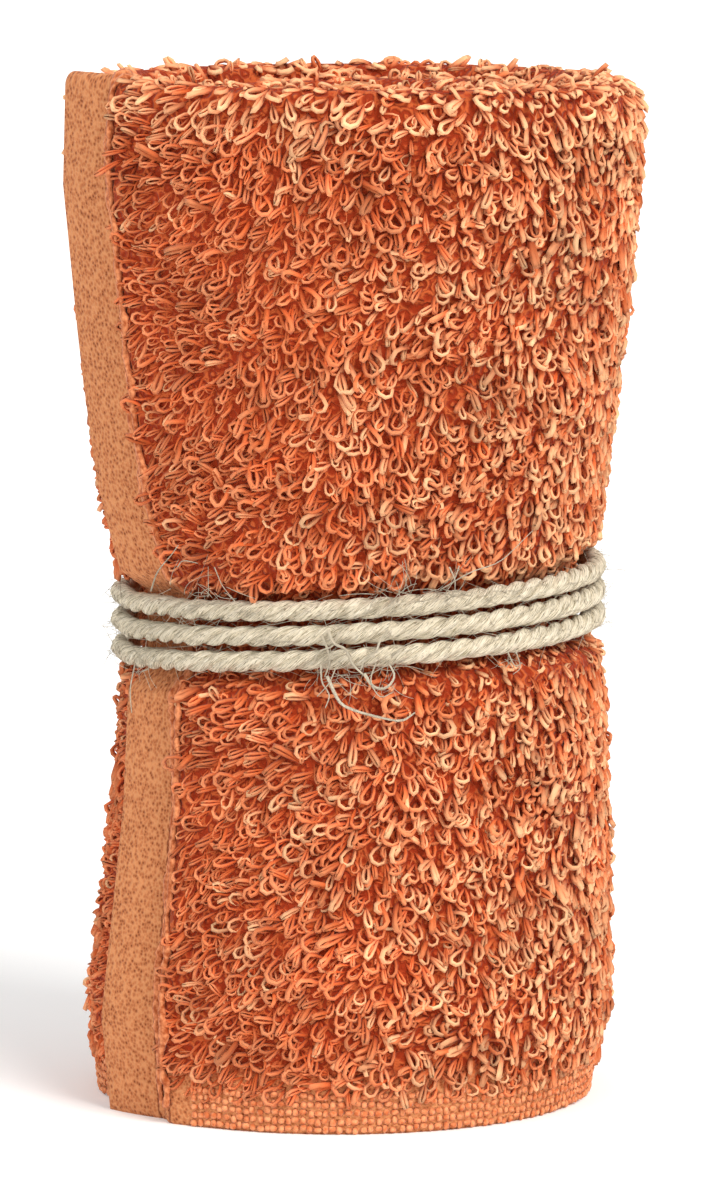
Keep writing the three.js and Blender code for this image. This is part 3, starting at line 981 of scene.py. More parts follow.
def pile_values(rng, turn, across, sizes):
    """Where each loop stands, how it is turned and sized, and how light it is."""
    ground = sizes.ground_thickness / MM / 2
    place, along, up, out = cloth_frame(turn, across, ground - ROOT_SINK)
    facing = facing_of(place)
    table = np.array(LIE_BY_FACING, float)
    heading, spread, stand, rolling, longer, wider, pale_and_lit_share = (
        np.interp(facing, table[:, 0], column) for column in table.T[1:]
    )
    count = len(turn)
    length = cloth_length(turn)
    heading = heading + HEADING_DRIFT * drift(rng, *HEADING_WAVES)(length, across)
    heading = heading + spread * rng.normal(0, HEADING_SCATTER, count)
    shoulder, _ = fold_sizes(turn)
    on_top = (across > shoulder + TOP_FROM) & (turn > TOP_TURN)
    heading = np.where(on_top, rng.uniform(0, 360, count), heading)
    pinched = (place[:, 2] > PINCH[0]) & (place[:, 2] < PINCH[1]) & (across < shoulder)
    stand = stand * rng.uniform(*STAND_RANGE, count)
    stand = np.where(on_top, TOP_STAND * rng.uniform(*TOP_STAND_RANGE, count), stand)
    stand = np.where(pinched, rng.uniform(*PINCH_STAND, count), stand)
    longer = np.where(on_top, TOP_LENGTH, longer)
    roll = rolling * rng.normal(0, 1, count)
    heading, stand, roll = (np.radians(value)[:, None] for value in (heading, stand, roll))
    lie = np.cos(heading) * along + np.sin(heading) * up
    aim = unit(np.cos(stand) * lie + np.sin(stand) * out)
    flat_side = unit(np.cross(aim, out))
    back = np.cross(aim, flat_side)
    side = np.cos(roll) * flat_side + np.sin(roll) * back
    bend = np.cross(aim, side)
    size = np.exp(rng.normal(0, SIZE_SCATTER, count))
    sized = np.stack([size * wider, size, size * longer], -1) * np.where(pinched, PINCH_SIZE, 1)[:, None]
    patches = drift(rng, *DYE_WAVES)(length, across)
    # Over the rim every loop is pale, a painted highlight; elsewhere the share by facing is partly less dye
    # and partly painted light on the right
    pale_and_lit_share = np.where(across > shoulder + TOP_HIGHLIGHT_FROM, TOP_HIGHLIGHT_SHARE, pale_and_lit_share)
    is_pale = rng.uniform(0, 1, count) < pale_and_lit_share + DYE_DRIFT * patches
    pale = np.where(is_pale, rng.uniform(*PALE_AND_LIT_PALENESS, count), rng.uniform(*DYED_PALENESS, count))
    # Over the rim the loops are brighter too: painted highlight
    tone = np.where(across > shoulder + TOP_HIGHLIGHT_FROM, TOP_HIGHLIGHT_TONE, 1)
    tone = tone + TONE_DRIFT * drift(rng, *TONE_WAVES)(length, across)
    tone = np.clip(tone + rng.normal(0, TONE_SCATTER, count), *TONE_RANGE)
    return place, {
        "turned": ("FLOAT_VECTOR", euler_of(side, bend, aim)),
        "sized": ("FLOAT_VECTOR", sized),
        "shape": ("INT", rng.integers(0, len(LOOP_SHAPES), count)),
        "tone": ("FLOAT", tone),
        "pale": ("FLOAT", pale),
    }


LOOP_UNEVENNESS = 0.06
WALL_TOP = 1
PILE_PIECES = (
    # name, and the facings from and to, in degrees from the front
    ("pile_front", -36, 36),
    ("pile_right", 36, 108),
    ("pile_back_right", 108, 180),
    ("pile_back_left", -180, -108),
    ("pile_left", -108, -36),
)


class TOWEL_OT_raise_pile(bpy.types.Operator):
    """Sets the uncut terry loops on the ground cloth, by Geometry Nodes"""

    bl_idname = "towel.raise_pile"
    bl_label = "Raise the terry pile"

    def execute(self, context):
        sizes = context.scene.rolled_towel
        rng = np.random.default_rng(sizes.seed)
        turn, across = pile_roots(rng, sizes.loop_spacing / MM)
        place, values = pile_values(rng, turn, across, sizes)
        material = cotton_pile_material(sizes)
        shapes = [loop_shape(number, sizes) for number in range(len(LOOP_SHAPES))]
        facing = facing_of(place)
        shoulder, _ = fold_sizes(turn)
        wall = across < shoulder - WALL_TOP
        groups = [(name, wall & (facing >= low) & (facing < high)) for name, low, high in PILE_PIECES]
        groups.append(("pile_top_front", ~wall & (np.abs(facing) < 90)))
        groups.append(("pile_top_back", ~wall & (np.abs(facing) >= 90)))
        for name, chosen in groups:
            kept = {label: (kind, numbers[chosen]) for label, (kind, numbers) in values.items()}
            piece = set_copies(name, place[chosen], kept, shapes, material, LOOP_UNEVENNESS, sizes.seed)
            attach(piece, "root")
        drop_shapes(shapes)
        return {"FINISHED"}


# Woven ground, border and ridges


WALL_ROWS = (
    0, 0.35, 0.9, 2, 4, 6.5, 10, 14, 20, 26, 33, 40, 46, 52, 58, 61, 63.1, 64.6, 66.2, 69, 72,
    75, 77.2, 78.8, 80.4, 83, 88, 94, 100, 107, 114, 121, 128, 134,
)
FOLD_ROWS = 12
EDGE_ROUND = 0.7
EDGE_LEAST = 0.12
BORDER_FADE = 1.5


def ground_columns():
    """Lengths along the cloth that get a column of points: close by the ends, wider inside."""
    near = [0, 0.2, 0.6, 1.4, 2.6, 4, 5.5, 7, 8.5, 10, 11.5, 12.5, 13.5, 14.5, 15.5, 16.5, 18]
    inside = np.arange(20.5, 250, 2.6).tolist() + np.arange(252, TOWEL_LENGTH - 19, 3.0).tolist()
    return np.array(near + inside + [TOWEL_LENGTH - value for value in near[::-1]])


class TOWEL_OT_weave_ground(bpy.types.Operator):
    """Weaves the doubled and rolled ground cloth as one thin sheet"""

    bl_idname = "towel.weave_ground"
    bl_label = "Weave the ground cloth"

    def execute(self, context):
        sizes = context.scene.rolled_towel
        length = ground_columns()
        turn = turn_at(length)[:, None]
        shoulder, arc = fold_sizes(turn)
        walls = np.broadcast_to(np.array(WALL_ROWS, float), (len(length), len(WALL_ROWS)))
        fold = shoulder + arc * np.arange(FOLD_ROWS + 1) / FOLD_ROWS
        across = np.concatenate([walls, fold, 2 * shoulder + arc - walls[:, ::-1]], axis=1)
        to_end = np.minimum(length, TOWEL_LENGTH - length)[:, None]
        to_hem = np.minimum(across, 2 * shoulder + arc - across)
        piled = smooth(to_end, BAND_WIDTH, BAND_WIDTH + PILE_START)
        half = BAND_LAYER / 2 + (sizes.ground_thickness / MM - BAND_LAYER) / 2 * piled
        edge = np.sqrt(np.clip(np.minimum(to_end, to_hem) / EDGE_ROUND, EDGE_LEAST, 1))
        half = half * edge
        faces_out = [cloth_point(turn, across, half), cloth_point(turn, across, -half)]
        columns, rows = across.shape
        index = np.arange(columns * rows).reshape(columns, rows)
        front = np.stack([index[:-1, :-1], index[1:, :-1], index[1:, 1:], index[:-1, 1:]], -1)
        back = front[..., ::-1] + columns * rows
        rim = np.concatenate([index[:, 0], index[-1, 1:], index[-2::-1, -1], index[0, -2:0:-1]])
        rim_back = rim + columns * rows
        joins = np.stack([np.roll(rim, -1), rim, rim_back, np.roll(rim_back, -1)], -1)
        quads = np.concatenate([front.reshape(-1, 4), back.reshape(-1, 4), joins])
        points = np.concatenate([face.reshape(-1, 3) for face in faces_out])
        ground = mesh_object("towel_ground", points, quads.tolist())
        flat = np.maximum(1 - piled, 1 - smooth(to_hem, BORDER_HEIGHT, BORDER_HEIGHT + BORDER_FADE))
        along = np.broadcast_to(length[:, None], across.shape)
        cloth = np.stack([along, across, np.zeros(across.shape)], -1)
        give_values(ground, "flat", "FLOAT", np.concatenate([flat.ravel()] * 2))
        give_values(ground, "cloth", "FLOAT_VECTOR", np.concatenate([cloth.reshape(-1, 3)] * 2))
        ground.data.materials.append(cotton_ground_material(sizes))
        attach(ground, "root")
        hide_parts("towel")
        return {"FINISHED"}


CROWN_PITCH = 1.22
CROWN_RINGS = 3
CROWN_SIDES = 5
CROWN_LENGTH = 0.68
CROWN_WIDTH = 0.47
CROWN_DEPTH = 0.24
CROWN_ARCH = 0.12
CROWN_END = 0.7
CROWN_FOOT = 0.75
CROWN_LIFT = 0.05
CROWN_CLOSENESS = 1.1
CROWN_SHIFT_UP = 0.12
CROWN_SHIFT_ALONG = 0.1
CROWN_SIZES = (0.85, 1.1)
CROWN_UNEVENNESS = 0.05
CROWN_GRAIN = 0.9
BORDER_START = 21.0


def crown_shape(name, lengthwise):
    """One thread's crown in the plain weave: a closed grain that lies along X or along Y."""
    share = np.linspace(-1, 1, CROWN_RINGS + 2)[1:-1]
    angle = TURN * np.arange(CROWN_SIDES) / CROWN_SIDES
    ring = np.sqrt(1 - share**2)[:, None]
    x = np.broadcast_to(share[:, None] * CROWN_LENGTH, (CROWN_RINGS, CROWN_SIDES))
    y = CROWN_WIDTH * ring * np.cos(angle)
    z = CROWN_DEPTH * ring * np.sin(angle) + CROWN_ARCH * (1 - share[:, None] ** 2)
    body = np.stack([x, y, z], -1).reshape(-1, 3)
    points = np.concatenate([body, [[-CROWN_END, 0, -CROWN_ARCH], [CROWN_END, 0, -CROWN_ARCH]]])
    index = np.arange(CROWN_RINGS * CROWN_SIDES).reshape(CROWN_RINGS, CROWN_SIDES)
    after = np.roll(index, -1, axis=1)
    walls = walls_between(index[:-1], index[1:])[:, ::-1].tolist()
    first, last = len(body), len(body) + 1
    ends = [[first, int(after[0, side]), int(index[0, side])] for side in range(CROWN_SIDES)]
    ends += [[last, int(index[-1, side]), int(after[-1, side])] for side in range(CROWN_SIDES)]
    if not lengthwise:
        points = points[:, [1, 0, 2]] * [1, -1, 1]
    made = mesh_object(name, points, walls + [face[::-1] for face in ends])
    bpy.context.scene.collection.objects.unlink(made)
    return made


class TOWEL_OT_weave_border(bpy.types.Operator):
    """Sets the thread crowns of the coarse woven border along the outer hem"""

    bl_idname = "towel.weave_border"
    bl_label = "Weave the hem border"

    def execute(self, context):
        sizes = context.scene.rolled_towel
        rng = np.random.default_rng(sizes.seed + 1)
        span = float(cloth_length(WALL_END)) - BORDER_START
        columns = int(span / CROWN_PITCH * CROWN_CLOSENESS)
        rows = int(BORDER_HEIGHT / CROWN_PITCH)
        column, row = np.meshgrid(np.arange(columns), np.arange(rows), indexing="ij")
        across = CROWN_FOOT + row * CROWN_PITCH + CROWN_SHIFT_UP * rng.normal(size=row.shape)
        length = BORDER_START + span * column / columns + CROWN_SHIFT_ALONG * rng.normal(size=row.shape)
        place, along, up, out = cloth_frame(
            turn_at(length).ravel(), across.ravel(), sizes.ground_thickness / MM / 2 + CROWN_LIFT
        )
        count = len(place)
        values = {
            "turned": ("FLOAT_VECTOR", euler_of(along, up, out)),
            "sized": ("FLOAT_VECTOR", rng.uniform(*CROWN_SIZES, (count, 3))),
            "shape": ("INT", ((column + row) % 2).ravel()),
        }
        material = cotton_thread_material(
            "mercerised_cotton_border", linear("#E89C6B"), linear("#C76A3B"), CROWN_GRAIN
        )
        shapes = [crown_shape("crown_0", True), crown_shape("crown_1", False)]
        border = set_copies(
            "border_weave", place, values, shapes, material, CROWN_UNEVENNESS, sizes.seed
        )
        drop_shapes(shapes)
        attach(border, "root")
        return {"FINISHED"}


RIDGE_LIFT = 0.4
RIDGE_STEPS = 220
RIDGE_SIDES = 8
RIDGE_FLATNESS = 0.62
RIDGE_UNEVENNESS = 0.18
RIDGE_WAVES = (5, 16)
RIDGE_FOOT = 2.5
RIDGE_OVER_FOLD = 0.7
RIDGE_GRAIN = 0.8
RIDGES = (
    # length from the free edge, half width, wave
    (13.1, 0.72, 0.35),
    (15.3, 0.8, 0.45),
)


class TOWEL_OT_lay_ridges(bpy.types.Operator):
    """Lays the two raised wavy threads between the flat band and the terry"""

    bl_idname = "towel.lay_ridges"
    bl_label = "Lay the band's ridges"

    def execute(self, context):
        sizes = context.scene.rolled_towel
        rng = np.random.default_rng(sizes.seed + 2)
        lines, sides = [], []
        for length, _, wave in RIDGES:
            sway = drift(rng, *RIDGE_WAVES)
            shoulder, arc = (float(value) for value in fold_sizes(turn_at(length)))
            across = np.linspace(RIDGE_FOOT, shoulder + RIDGE_OVER_FOLD * arc, RIDGE_STEPS)
            turn = turn_at(length + wave * sway(across, 0))
            place, along, _, _ = cloth_frame(turn, across, sizes.ground_thickness / MM / 2 + RIDGE_LIFT)
            lines.append(place)
            sides.append(along)
        uneven = 1 + RIDGE_UNEVENNESS * rng.normal(size=(len(RIDGES), RIDGE_STEPS))
        radius = np.array([row[1] for row in RIDGES])[:, None] * uneven
        material = cotton_thread_material(
            "mercerised_cotton_ridge", linear("#DD8C5C"), linear("#9E4A20"), RIDGE_GRAIN
        )
        ridges = tube_object(
            "band_ridges", material, lines, radius, RIDGE_SIDES, RIDGE_FLATNESS, np.array(sides)
        )
        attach(ridges, "root")
        return {"FINISHED"}


# Twine


def twine_reach():
    """Outline of the roll where the twine grips it, as a taut loop."""
    turn = np.arange(OUTLINE_SAMPLES) / OUTLINE_SAMPLES
    height = np.full(turn.shape, WAIST_HEIGHT)
    outline = place_on_roll(cloth_faces(turn)[1], EDGE_ANGLE + TURN * turn, height)
    return outer_hull(outline[:, :2])


WAIST_LOOP = twine_reach()


def winding_radius(angle):
    """Radius of the twine's line at an angle, clear of the towel."""
    return loop_reach(WAIST_LOOP, angle) + TWINE_CLEARANCE + TWINE_RADIUS


def winding_point(angle, up, out):
    """A point of the winding's line: an angle, and a height and a distance out from it."""
    angle = np.asarray(angle, float)
    radius = winding_radius(angle) + out
    x = radius * np.cos(angle)
    return np.stack([x, radius * np.sin(angle), WAIST_HEIGHT + up + WAIST_SLOPE * x], -1)


def winding_height(turn):
    """Height of the winding over its middle, by turns from the knot."""
    fan = 1 + TURN_FAN * np.maximum(0, -np.cos(KNOT_ANGLE + TURN * turn)) ** 2
    return (turn - TWINE_TURNS / 2) * TURN_PITCH * fan


def twine_points():
    """Places that the twine passes: a tail, half of the knot, the winding and the other half."""
    line_radius = float(winding_radius(np.array(KNOT_ANGLE)))
    along, up, out, changes = np.array(KNOT_HALF, float).T
    first = winding_point(KNOT_ANGLE + along / line_radius, up, out)
    mirrored = np.where(changes > 0, 2 * KNOT_MIDDLE - out, out)
    second = winding_point(KNOT_ANGLE - along / line_radius, -up, mirrored)[::-1]
    start = KNOT_REACH / line_radius / TURN
    steps = round(WINDING_POINTS * (TWINE_TURNS - 2 * start))
    turn = np.linspace(start, TWINE_TURNS - start, steps + 1)
    winding = winding_point(KNOT_ANGLE + TURN * turn, winding_height(turn), 0)
    return np.concatenate([first, winding, second]) + np.array([*CENTRE_SHIFT, 0])


CURVE_STEPS = 24


def curve_through(points, step):
    """Even steps along the smooth curve through points, and the curve's length."""
    ends = [2 * points[0] - points[1], *points, 2 * points[-1] - points[-2]]
    p0, p1, p2, p3 = (np.array(ends[offset:len(ends) - 3 + offset]) for offset in range(4))
    pairs = ((p0, p1), (p1, p2), (p2, p3))
    d0, d1, d2 = (np.linalg.norm(b - a, axis=-1, keepdims=True) ** 0.5 for a, b in pairs)
    t1 = ((p1 - p0) / d0 - (p2 - p0) / (d0 + d1) + (p2 - p1) / d1) * d1
    t2 = ((p2 - p1) / d1 - (p3 - p1) / (d1 + d2) + (p3 - p2) / d2) * d1
    share = np.linspace(0, 1, CURVE_STEPS, endpoint=False)[:, None, None]
    fine = (
        p1
        + t1 * share
        + (3 * (p2 - p1) - 2 * t1 - t2) * share**2
        + (2 * (p1 - p2) + t1 + t2) * share**3
    )
    fine = np.concatenate([fine.transpose(1, 0, 2).reshape(-1, 3), points[-1:]])
    length = np.append(0, np.cumsum(np.linalg.norm(np.diff(fine, axis=0), axis=-1)))
    even = np.linspace(0, length[-1], round(length[-1] / step) + 1)
    return np.stack([np.interp(even, length, fine[:, axis]) for axis in range(3)], -1), even


TWINE_STEP = 0.8
PLY_SIDES = 8
PLY_UNEVENNESS = 0.06
PLY_WAVES = (6, 14)

# How much fuller the twine is where it is wound, and more so at the right
WOUND_SWELL = 0.05
WOUND_RISE = 10
RIGHT_SWELL = 0.07


def twine_frame():
    """Line of the twine with its two side directions and how full it is at each step."""
    line, length = curve_through(twine_points(), TWINE_STEP)
    tangent = unit(np.gradient(line, axis=0))
    outward = unit(line * [1, 1, 0])
    side = unit(np.cross(tangent, outward))
    lift = np.cross(side, tangent)
    from_end = np.minimum(length, length[-1] - length)
    full = KNOT_SQUEEZE + (1 - KNOT_SQUEEZE) * smooth(from_end, KNOT_LENGTH - TWIST_PITCH, KNOT_LENGTH)
    to_right = np.clip(line[:, 0] / np.linalg.norm(line[:, :2], axis=-1), 0, 1)
    wound = smooth(from_end, KNOT_LENGTH, KNOT_LENGTH + WOUND_RISE)
    return line, length, side, lift, full * (1 + WOUND_SWELL * wound + RIGHT_SWELL * to_right**2)


class TOWEL_OT_twist_twine(bpy.types.Operator):
    """Twists three plies of jute round the twine's line"""

    bl_idname = "towel.twist_twine"
    bl_label = "Twist the twine"

    def execute(self, context):
        settings = context.scene.rolled_towel_twine
        rng = np.random.default_rng(settings.seed)
        line, length, side, lift, full = twine_frame()
        radius = settings.ply_radius / MM
        lines, sides, radii = [], [], []
        for ply in range(3):
            uneven = drift(rng, *PLY_WAVES)
            angle = TURN * (length / TWIST_PITCH + ply / 3)
            cosine, sine = np.cos(angle)[:, None], np.sin(angle)[:, None]
            toward = cosine * side + sine * lift
            lines.append(line + toward * ((TWINE_RADIUS - radius) * full)[:, None])
            sides.append(toward)
            radii.append(radius * full * (1 + PLY_UNEVENNESS * uneven(length, 0)))
        material = jute_material(settings, "carded_jute_ply", 1.0)
        twine = tube_object("twine_plies", material, lines, radii, PLY_SIDES, side=np.array(sides))
        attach(twine, "root")
        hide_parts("twine")
        return {"FINISHED"}


FIBRE_STEPS = 5
STRAND_STEPS = 16
STRAND_TAPER = 0.55
STRAND_STEP = 0.1

# Loose strands on the front, given one by one: radius, then the places that each one passes, by
# degrees from the front, height and distance from the roll's axis
STRANDS = (
    (0.13, ((-52, 76.3, 37), (-47, 79.5, 38.4), (-41.5, 82.4, 39.2), (-39.5, 83.8, 39.4))),
    (0.1, ((-41, 80.5, 38.4), (-38.4, 81.6, 39.2), (-35, 81.4, 38.8))),
    (0.08, ((-31, 81, 38.6), (-29, 78.4, 38.6), (-27, 75.8, 36.8))),
    (0.12, ((-59, 65.4, 36.8), (-57, 61.8, 38.4), (-55.5, 58.6, 38.8))),
    (0.1, ((19, 78, 37), (25, 80.6, 39), (31, 81.8, 39.4), (39.5, 85.9, 39.6))),
    (0.12, ((20.2, 81.4, 38.6), (21, 79.8, 39.2), (22.2, 77.6, 37.4))),
    (0.1, ((22.4, 81.5, 38.6), (21.2, 79.8, 39), (19.8, 77.4, 37.4))),
    (0.26, ((-6, 72.4, 36.2), (-4.6, 70.6, 36.9), (-2.2, 69.8, 36.9), (-0.4, 67.6, 37), (2.2, 66, 37.4))),
    (0.22, ((7.4, 72.4, 36.2), (5.4, 70.8, 36.9), (4.6, 69.4, 36.8), (2.4, 68.6, 37), (1.2, 66.8, 37.2))),
    (0.2, ((-7.4, 71.6, 36.2), (-5.8, 69.2, 36.9), (-5.6, 67.8, 36.9), (-6.6, 65.8, 37.2))),
    (0.16, ((-3.6, 72.2, 36.2), (-5, 70.2, 36.9), (-7.8, 69.4, 36.8), (-9.4, 67.4, 37))),
    (0.26, ((2, 66.4, 37.4), (4, 64.6, 38), (6.5, 64.4, 38.2), (8.4, 66, 38), (7.4, 67.8, 37.4))),
    (0.12, ((4.6, 67.8, 37), (3.4, 65.4, 38), (5.4, 63.2, 38.6), (8, 63.8, 38.4))),
    (0.14, ((-7.5, 67.6, 37), (-7, 65.2, 38), (-5.4, 63.4, 38.6), (-6.2, 61.6, 38.8))),
    (0.11, ((-4, 67.4, 37), (-5.6, 65, 38.2), (-8, 63.2, 38.4))),
    (0.28, ((-6, 66, 37.6), (-3, 62.4, 38.9), (-0.6, 61.5, 39), (4.2, 60.5, 39), (8.6, 59.8, 39))),
    (0.2, ((8.4, 59.8, 39), (10.4, 60, 39.1), (12.6, 60.9, 38.8))),
    (0.12, ((35.4, 68.6, 37.4), (36.6, 66.6, 38.2), (38.6, 66.8, 38))),
    (0.1, ((37.8, 68.8, 37.2), (37.6, 66.2, 38.4), (36, 65.4, 38.2))),
)

# Where many fine hairs stand off: degrees from the front, heights, how many and how long
FRAYS = (
    # from, to, low, high, count, length
    (4, 22, 76, 79, 34, 5.0),
    (-10, 9, 64.5, 69, 46, 3.6),
    (-46, -26, 76, 78.4, 16, 4.6),
    (-64, -52, 63.5, 66, 12, 4.0),
    (33, 41, 66, 68.6, 12, 2.6),
)
FRAY_REACH = 36.6
FRAY_BEND = 0.5
FRAY_LENGTHS = (0.4, 1.2)
FRAY_RISE = (0.1, 0.45)
FRAY_ARCH = 2.2
FRAY_THICKNESS = (0.8, 1.8)
FRAY_TAPER = 0.6


def on_front(degrees, height, reach):
    """A place by degrees from the front, height and distance from the roll's axis."""
    angle = np.radians(np.asarray(degrees, float) - 90)
    x, y, z = np.broadcast_arrays(reach * np.cos(angle), reach * np.sin(angle), height)
    return np.stack([x, y, z], -1)


def strand_lines():
    """Smooth lines of the loose strands, and their thickness at each step."""
    lines, radii = [], []
    for radius, places in STRANDS:
        degrees, height, reach = np.array(places, float).T
        curve, _ = curve_through(on_front(degrees, height, reach), STRAND_STEP)
        pick = np.linspace(0, len(curve) - 1, STRAND_STEPS).round().astype(int)
        lines.append(curve[pick])
        radii.append(radius * np.linspace(1, STRAND_TAPER, STRAND_STEPS))
    return np.array(lines), np.array(radii)


def fray_lines(rng, fibre):
    """Fine curved hairs that stand off the twine where it is worn."""
    lines, radii = [], []
    for first, last, low, high, count, long in FRAYS:
        start = on_front(rng.uniform(first, last, count), rng.uniform(low, high, count), FRAY_REACH)
        out = unit(start * [1, 1, 0])
        right = np.cross([0, 0, 1.0], out)
        aim = rng.uniform(0, TURN, (count, 1))
        way = np.cos(aim) * right + np.sin(aim) * [0, 0, 1.0]
        bend = np.cross(out, way) * rng.normal(0, FRAY_BEND, (count, 1))
        reach = long * rng.uniform(*FRAY_LENGTHS, (count, 1))
        rise = rng.uniform(*FRAY_RISE, (count, 1))
        share = np.linspace(0, 1, STRAND_STEPS)[None, :, None]
        step = way[:, None] * share + bend[:, None] * share**2
        step = step + (rise * out)[:, None] * np.sin(FRAY_ARCH * share)
        lines.append(start[:, None] + reach[:, None] * step)
        thick = fibre * rng.uniform(*FRAY_THICKNESS, (count, 1))
        radii.append(thick * np.linspace(1, FRAY_TAPER, STRAND_STEPS))
    return np.concatenate(lines), np.concatenate(radii)


HAIR_SPREAD = 2.2
HAIR_LEAST = 1.0
HAIR_ALONG = (0.5, 1.2)
HAIR_AROUND = 0.5
HAIR_RISE = (0.05, 0.5)
HAIR_CURL = 0.35
HAIR_ROOT = 0.12
HAIR_THICKNESS = (0.6, 1.4)
HAIR_TAPER = 0.5


def hair_lines(rng, count, fibre):
    """Fine short fibres all along the dry twine."""
    line, _, side, lift, full = twine_frame()
    tangent = np.cross(lift, side)
    spot = rng.integers(2, len(line) - 2, count)
    angle = rng.uniform(0, TURN, count)[:, None]
    out = np.cos(angle) * side[spot] + np.sin(angle) * lift[spot]
    around = -np.sin(angle) * side[spot] + np.cos(angle) * lift[spot]
    inward = np.sum(out * unit(line[spot] * [1, 1, 0]), -1, keepdims=True) < -0.2
    out = np.where(inward, -out, out)
    reach = rng.gamma(HAIR_SPREAD, 1.0, count)[:, None] + HAIR_LEAST
    along = tangent[spot] * rng.choice([-1, 1], count)[:, None] * rng.uniform(*HAIR_ALONG, (count, 1))
    way = unit(along + around * rng.normal(0, HAIR_AROUND, (count, 1)))
    rise = rng.uniform(*HAIR_RISE, (count, 1)) ** 1.5
    curl = rng.normal(0, HAIR_CURL, (count, 1))
    share = np.linspace(0, 1, FIBRE_STEPS)[None, :, None]
    start = line[spot] + out * ((TWINE_RADIUS - HAIR_ROOT) * full[spot])[:, None]
    path = (
        start[:, None]
        + reach[:, None] * (way[:, None] * share + out[:, None] * rise[:, None] * share**1.5)
        + reach[:, None] * np.cross(way, out)[:, None] * curl[:, None] * share**2
    )
    return path, fibre * rng.uniform(*HAIR_THICKNESS, (count, 1)) * np.linspace(1, HAIR_TAPER, FIBRE_STEPS)


class TOWEL_OT_fray_twine(bpy.types.Operator):
    """Raises the fine loose fibres of the dry jute, and its loose strands on the front"""

    bl_idname = "towel.fray_twine"
    bl_label = "Fray the twine"

    def execute(self, context):
        settings = context.scene.rolled_towel_twine
        rng = np.random.default_rng(settings.seed + 1)
        fibre = settings.fibre_radius / MM
        groups = (
            ("twine_fibres", hair_lines(rng, settings.fibre_count, fibre), 3, 0.25),
            ("twine_frays", fray_lines(rng, fibre), 3, 0.25),
            ("twine_strands", strand_lines(), 5, 0.45),
        )
        for name, (lines, radii), sides, shade_and_fleck_share in groups:
            material = jute_material(settings, "loose_jute_" + name, shade_and_fleck_share)
            made = tube_object(name, material, lines, radii, sides)
            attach(made, "root")
        return {"FINISHED"}


# Stage


FRAME_WIDTH = 715
FRAME_HEIGHT = 1199
MIDDLE_COLUMN = 355
VIEW_TARGET_HEIGHT = 72.2 * MM
SENSOR = 36
FLOOR_REACH = 60
CLIP_START = 0.05
LIGHTS = (
    # name, where it comes from, share of the key's strength, spread in degrees, colour
    ("key", (0.55, -0.7, 0.8), 1, 30, (1, 0.98, 0.95)),
    ("fill", (-0.8, -0.6, 0.5), 0.25, 60, (0.96, 0.98, 1)),
)
WHITE = (1, 1, 1, 1)


def soft_sun(name, come_from, strength, spread, colour):
    """Wide even light from a direction, such as a large softbox far away."""
    light = bpy.data.lights.new(name, "SUN")
    light.energy = strength
    light.angle = math.radians(spread)
    light.color = colour
    made = bpy.data.objects.new(name, light)
    made.location = Vector(come_from)
    made.rotation_euler = Vector(come_from).to_track_quat("Z", "Y").to_euler()
    bpy.context.scene.collection.objects.link(made)


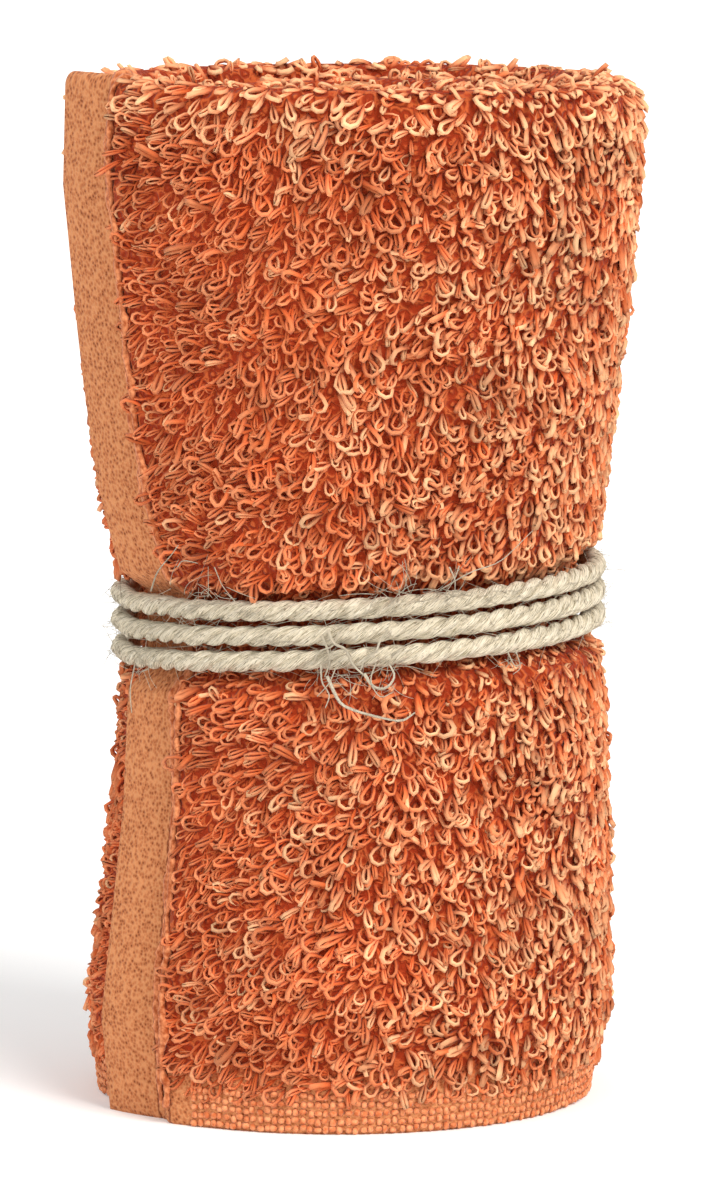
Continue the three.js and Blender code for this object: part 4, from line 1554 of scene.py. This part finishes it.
class TOWEL_OT_set_stage(bpy.types.Operator):
    """Makes the plain floor, the soft light and the camera"""

    bl_idname = "towel.set_stage"
    bl_label = "Set the stage"

    def execute(self, context):
        settings = context.scene.rolled_towel_stage
        scene = context.scene
        corners = np.array([(-1, -1, 0), (1, -1, 0), (1, 1, 0), (-1, 1, 0)]) * FLOOR_REACH
        floor = mesh_object("studio_floor", corners / MM, [(0, 1, 2, 3)])
        material, shader = new_material("white_studio_floor", 0.9, 0.0)
        shader.inputs["Base Color"].default_value = (*linear("#F7F7F6"), 1)
        shader.inputs["Emission Color"].default_value = WHITE
        shader.inputs["Emission Strength"].default_value = settings.floor_glow
        floor.data.materials.append(material)
        world = bpy.data.worlds.new("studio_sky")
        world.use_nodes = True
        sky = world.node_tree.nodes["Background"]
        sky.inputs["Color"].default_value = WHITE
        sky.inputs["Strength"].default_value = settings.sky_strength
        scene.world = world
        for name, come_from, share, spread, colour in LIGHTS:
            soft_sun(name, come_from, settings.key_strength * share, spread, colour)
        scene.view_settings.view_transform = "Standard"
        camera = bpy.data.cameras.new("camera")
        camera.sensor_width = SENSOR
        camera.lens = SENSOR * settings.camera_distance / settings.view_height
        camera.clip_start = CLIP_START
        camera.dof.use_dof = False
        made = bpy.data.objects.new("camera", camera)
        side = (FRAME_WIDTH / 2 - MIDDLE_COLUMN) * settings.view_height / FRAME_HEIGHT
        target = Vector((side, 0, VIEW_TARGET_HEIGHT))
        back = Vector((0, -math.cos(settings.camera_elevation), math.sin(settings.camera_elevation)))
        made.location = target + back * settings.camera_distance
        made.rotation_euler = (-back).to_track_quat("-Z", "Y").to_euler()
        scene.collection.objects.link(made)
        scene.camera = made
        return {"FINISHED"}


class TOWEL_PT_sidebar(bpy.types.Panel):
    """Lists the steps and sizes of the rolled towel"""

    bl_label = "Rolled face towel"
    bl_idname = "TOWEL_PT_sidebar"
    bl_space_type = "VIEW_3D"
    bl_region_type = "UI"
    bl_category = "Towel"

    def draw(self, context):
        for group in ("rolled_towel", "rolled_towel_twine", "rolled_towel_stage"):
            settings = getattr(context.scene, group)
            for name in settings.__annotations__:
                self.layout.prop(settings, name)
        for operator in OPERATORS:
            self.layout.operator(operator.bl_idname)


OPERATORS = (
    TOWEL_OT_set_stage,
    TOWEL_OT_weave_ground,
    TOWEL_OT_weave_border,
    TOWEL_OT_lay_ridges,
    TOWEL_OT_raise_pile,
    TOWEL_OT_twist_twine,
    TOWEL_OT_fray_twine,
)
CLASSES = (TowelSettings, TwineSettings, StageSettings, *OPERATORS, TOWEL_PT_sidebar)


def register():
    for kind in CLASSES:
        bpy.utils.register_class(kind)
    bpy.types.Scene.rolled_towel = PointerProperty(type=TowelSettings)
    bpy.types.Scene.rolled_towel_twine = PointerProperty(type=TwineSettings)
    bpy.types.Scene.rolled_towel_stage = PointerProperty(type=StageSettings)


def unregister():
    del bpy.types.Scene.rolled_towel_stage
    del bpy.types.Scene.rolled_towel_twine
    del bpy.types.Scene.rolled_towel
    for kind in reversed(CLASSES):
        bpy.utils.unregister_class(kind)


def main():
    register()
    bpy.ops.towel.set_stage()
    bpy.ops.towel.weave_ground()
    bpy.ops.towel.weave_border()
    bpy.ops.towel.lay_ridges()
    bpy.ops.towel.raise_pile()
    bpy.ops.towel.twist_twine()
    bpy.ops.towel.fray_twine()


if __name__ == "__main__":
    main()
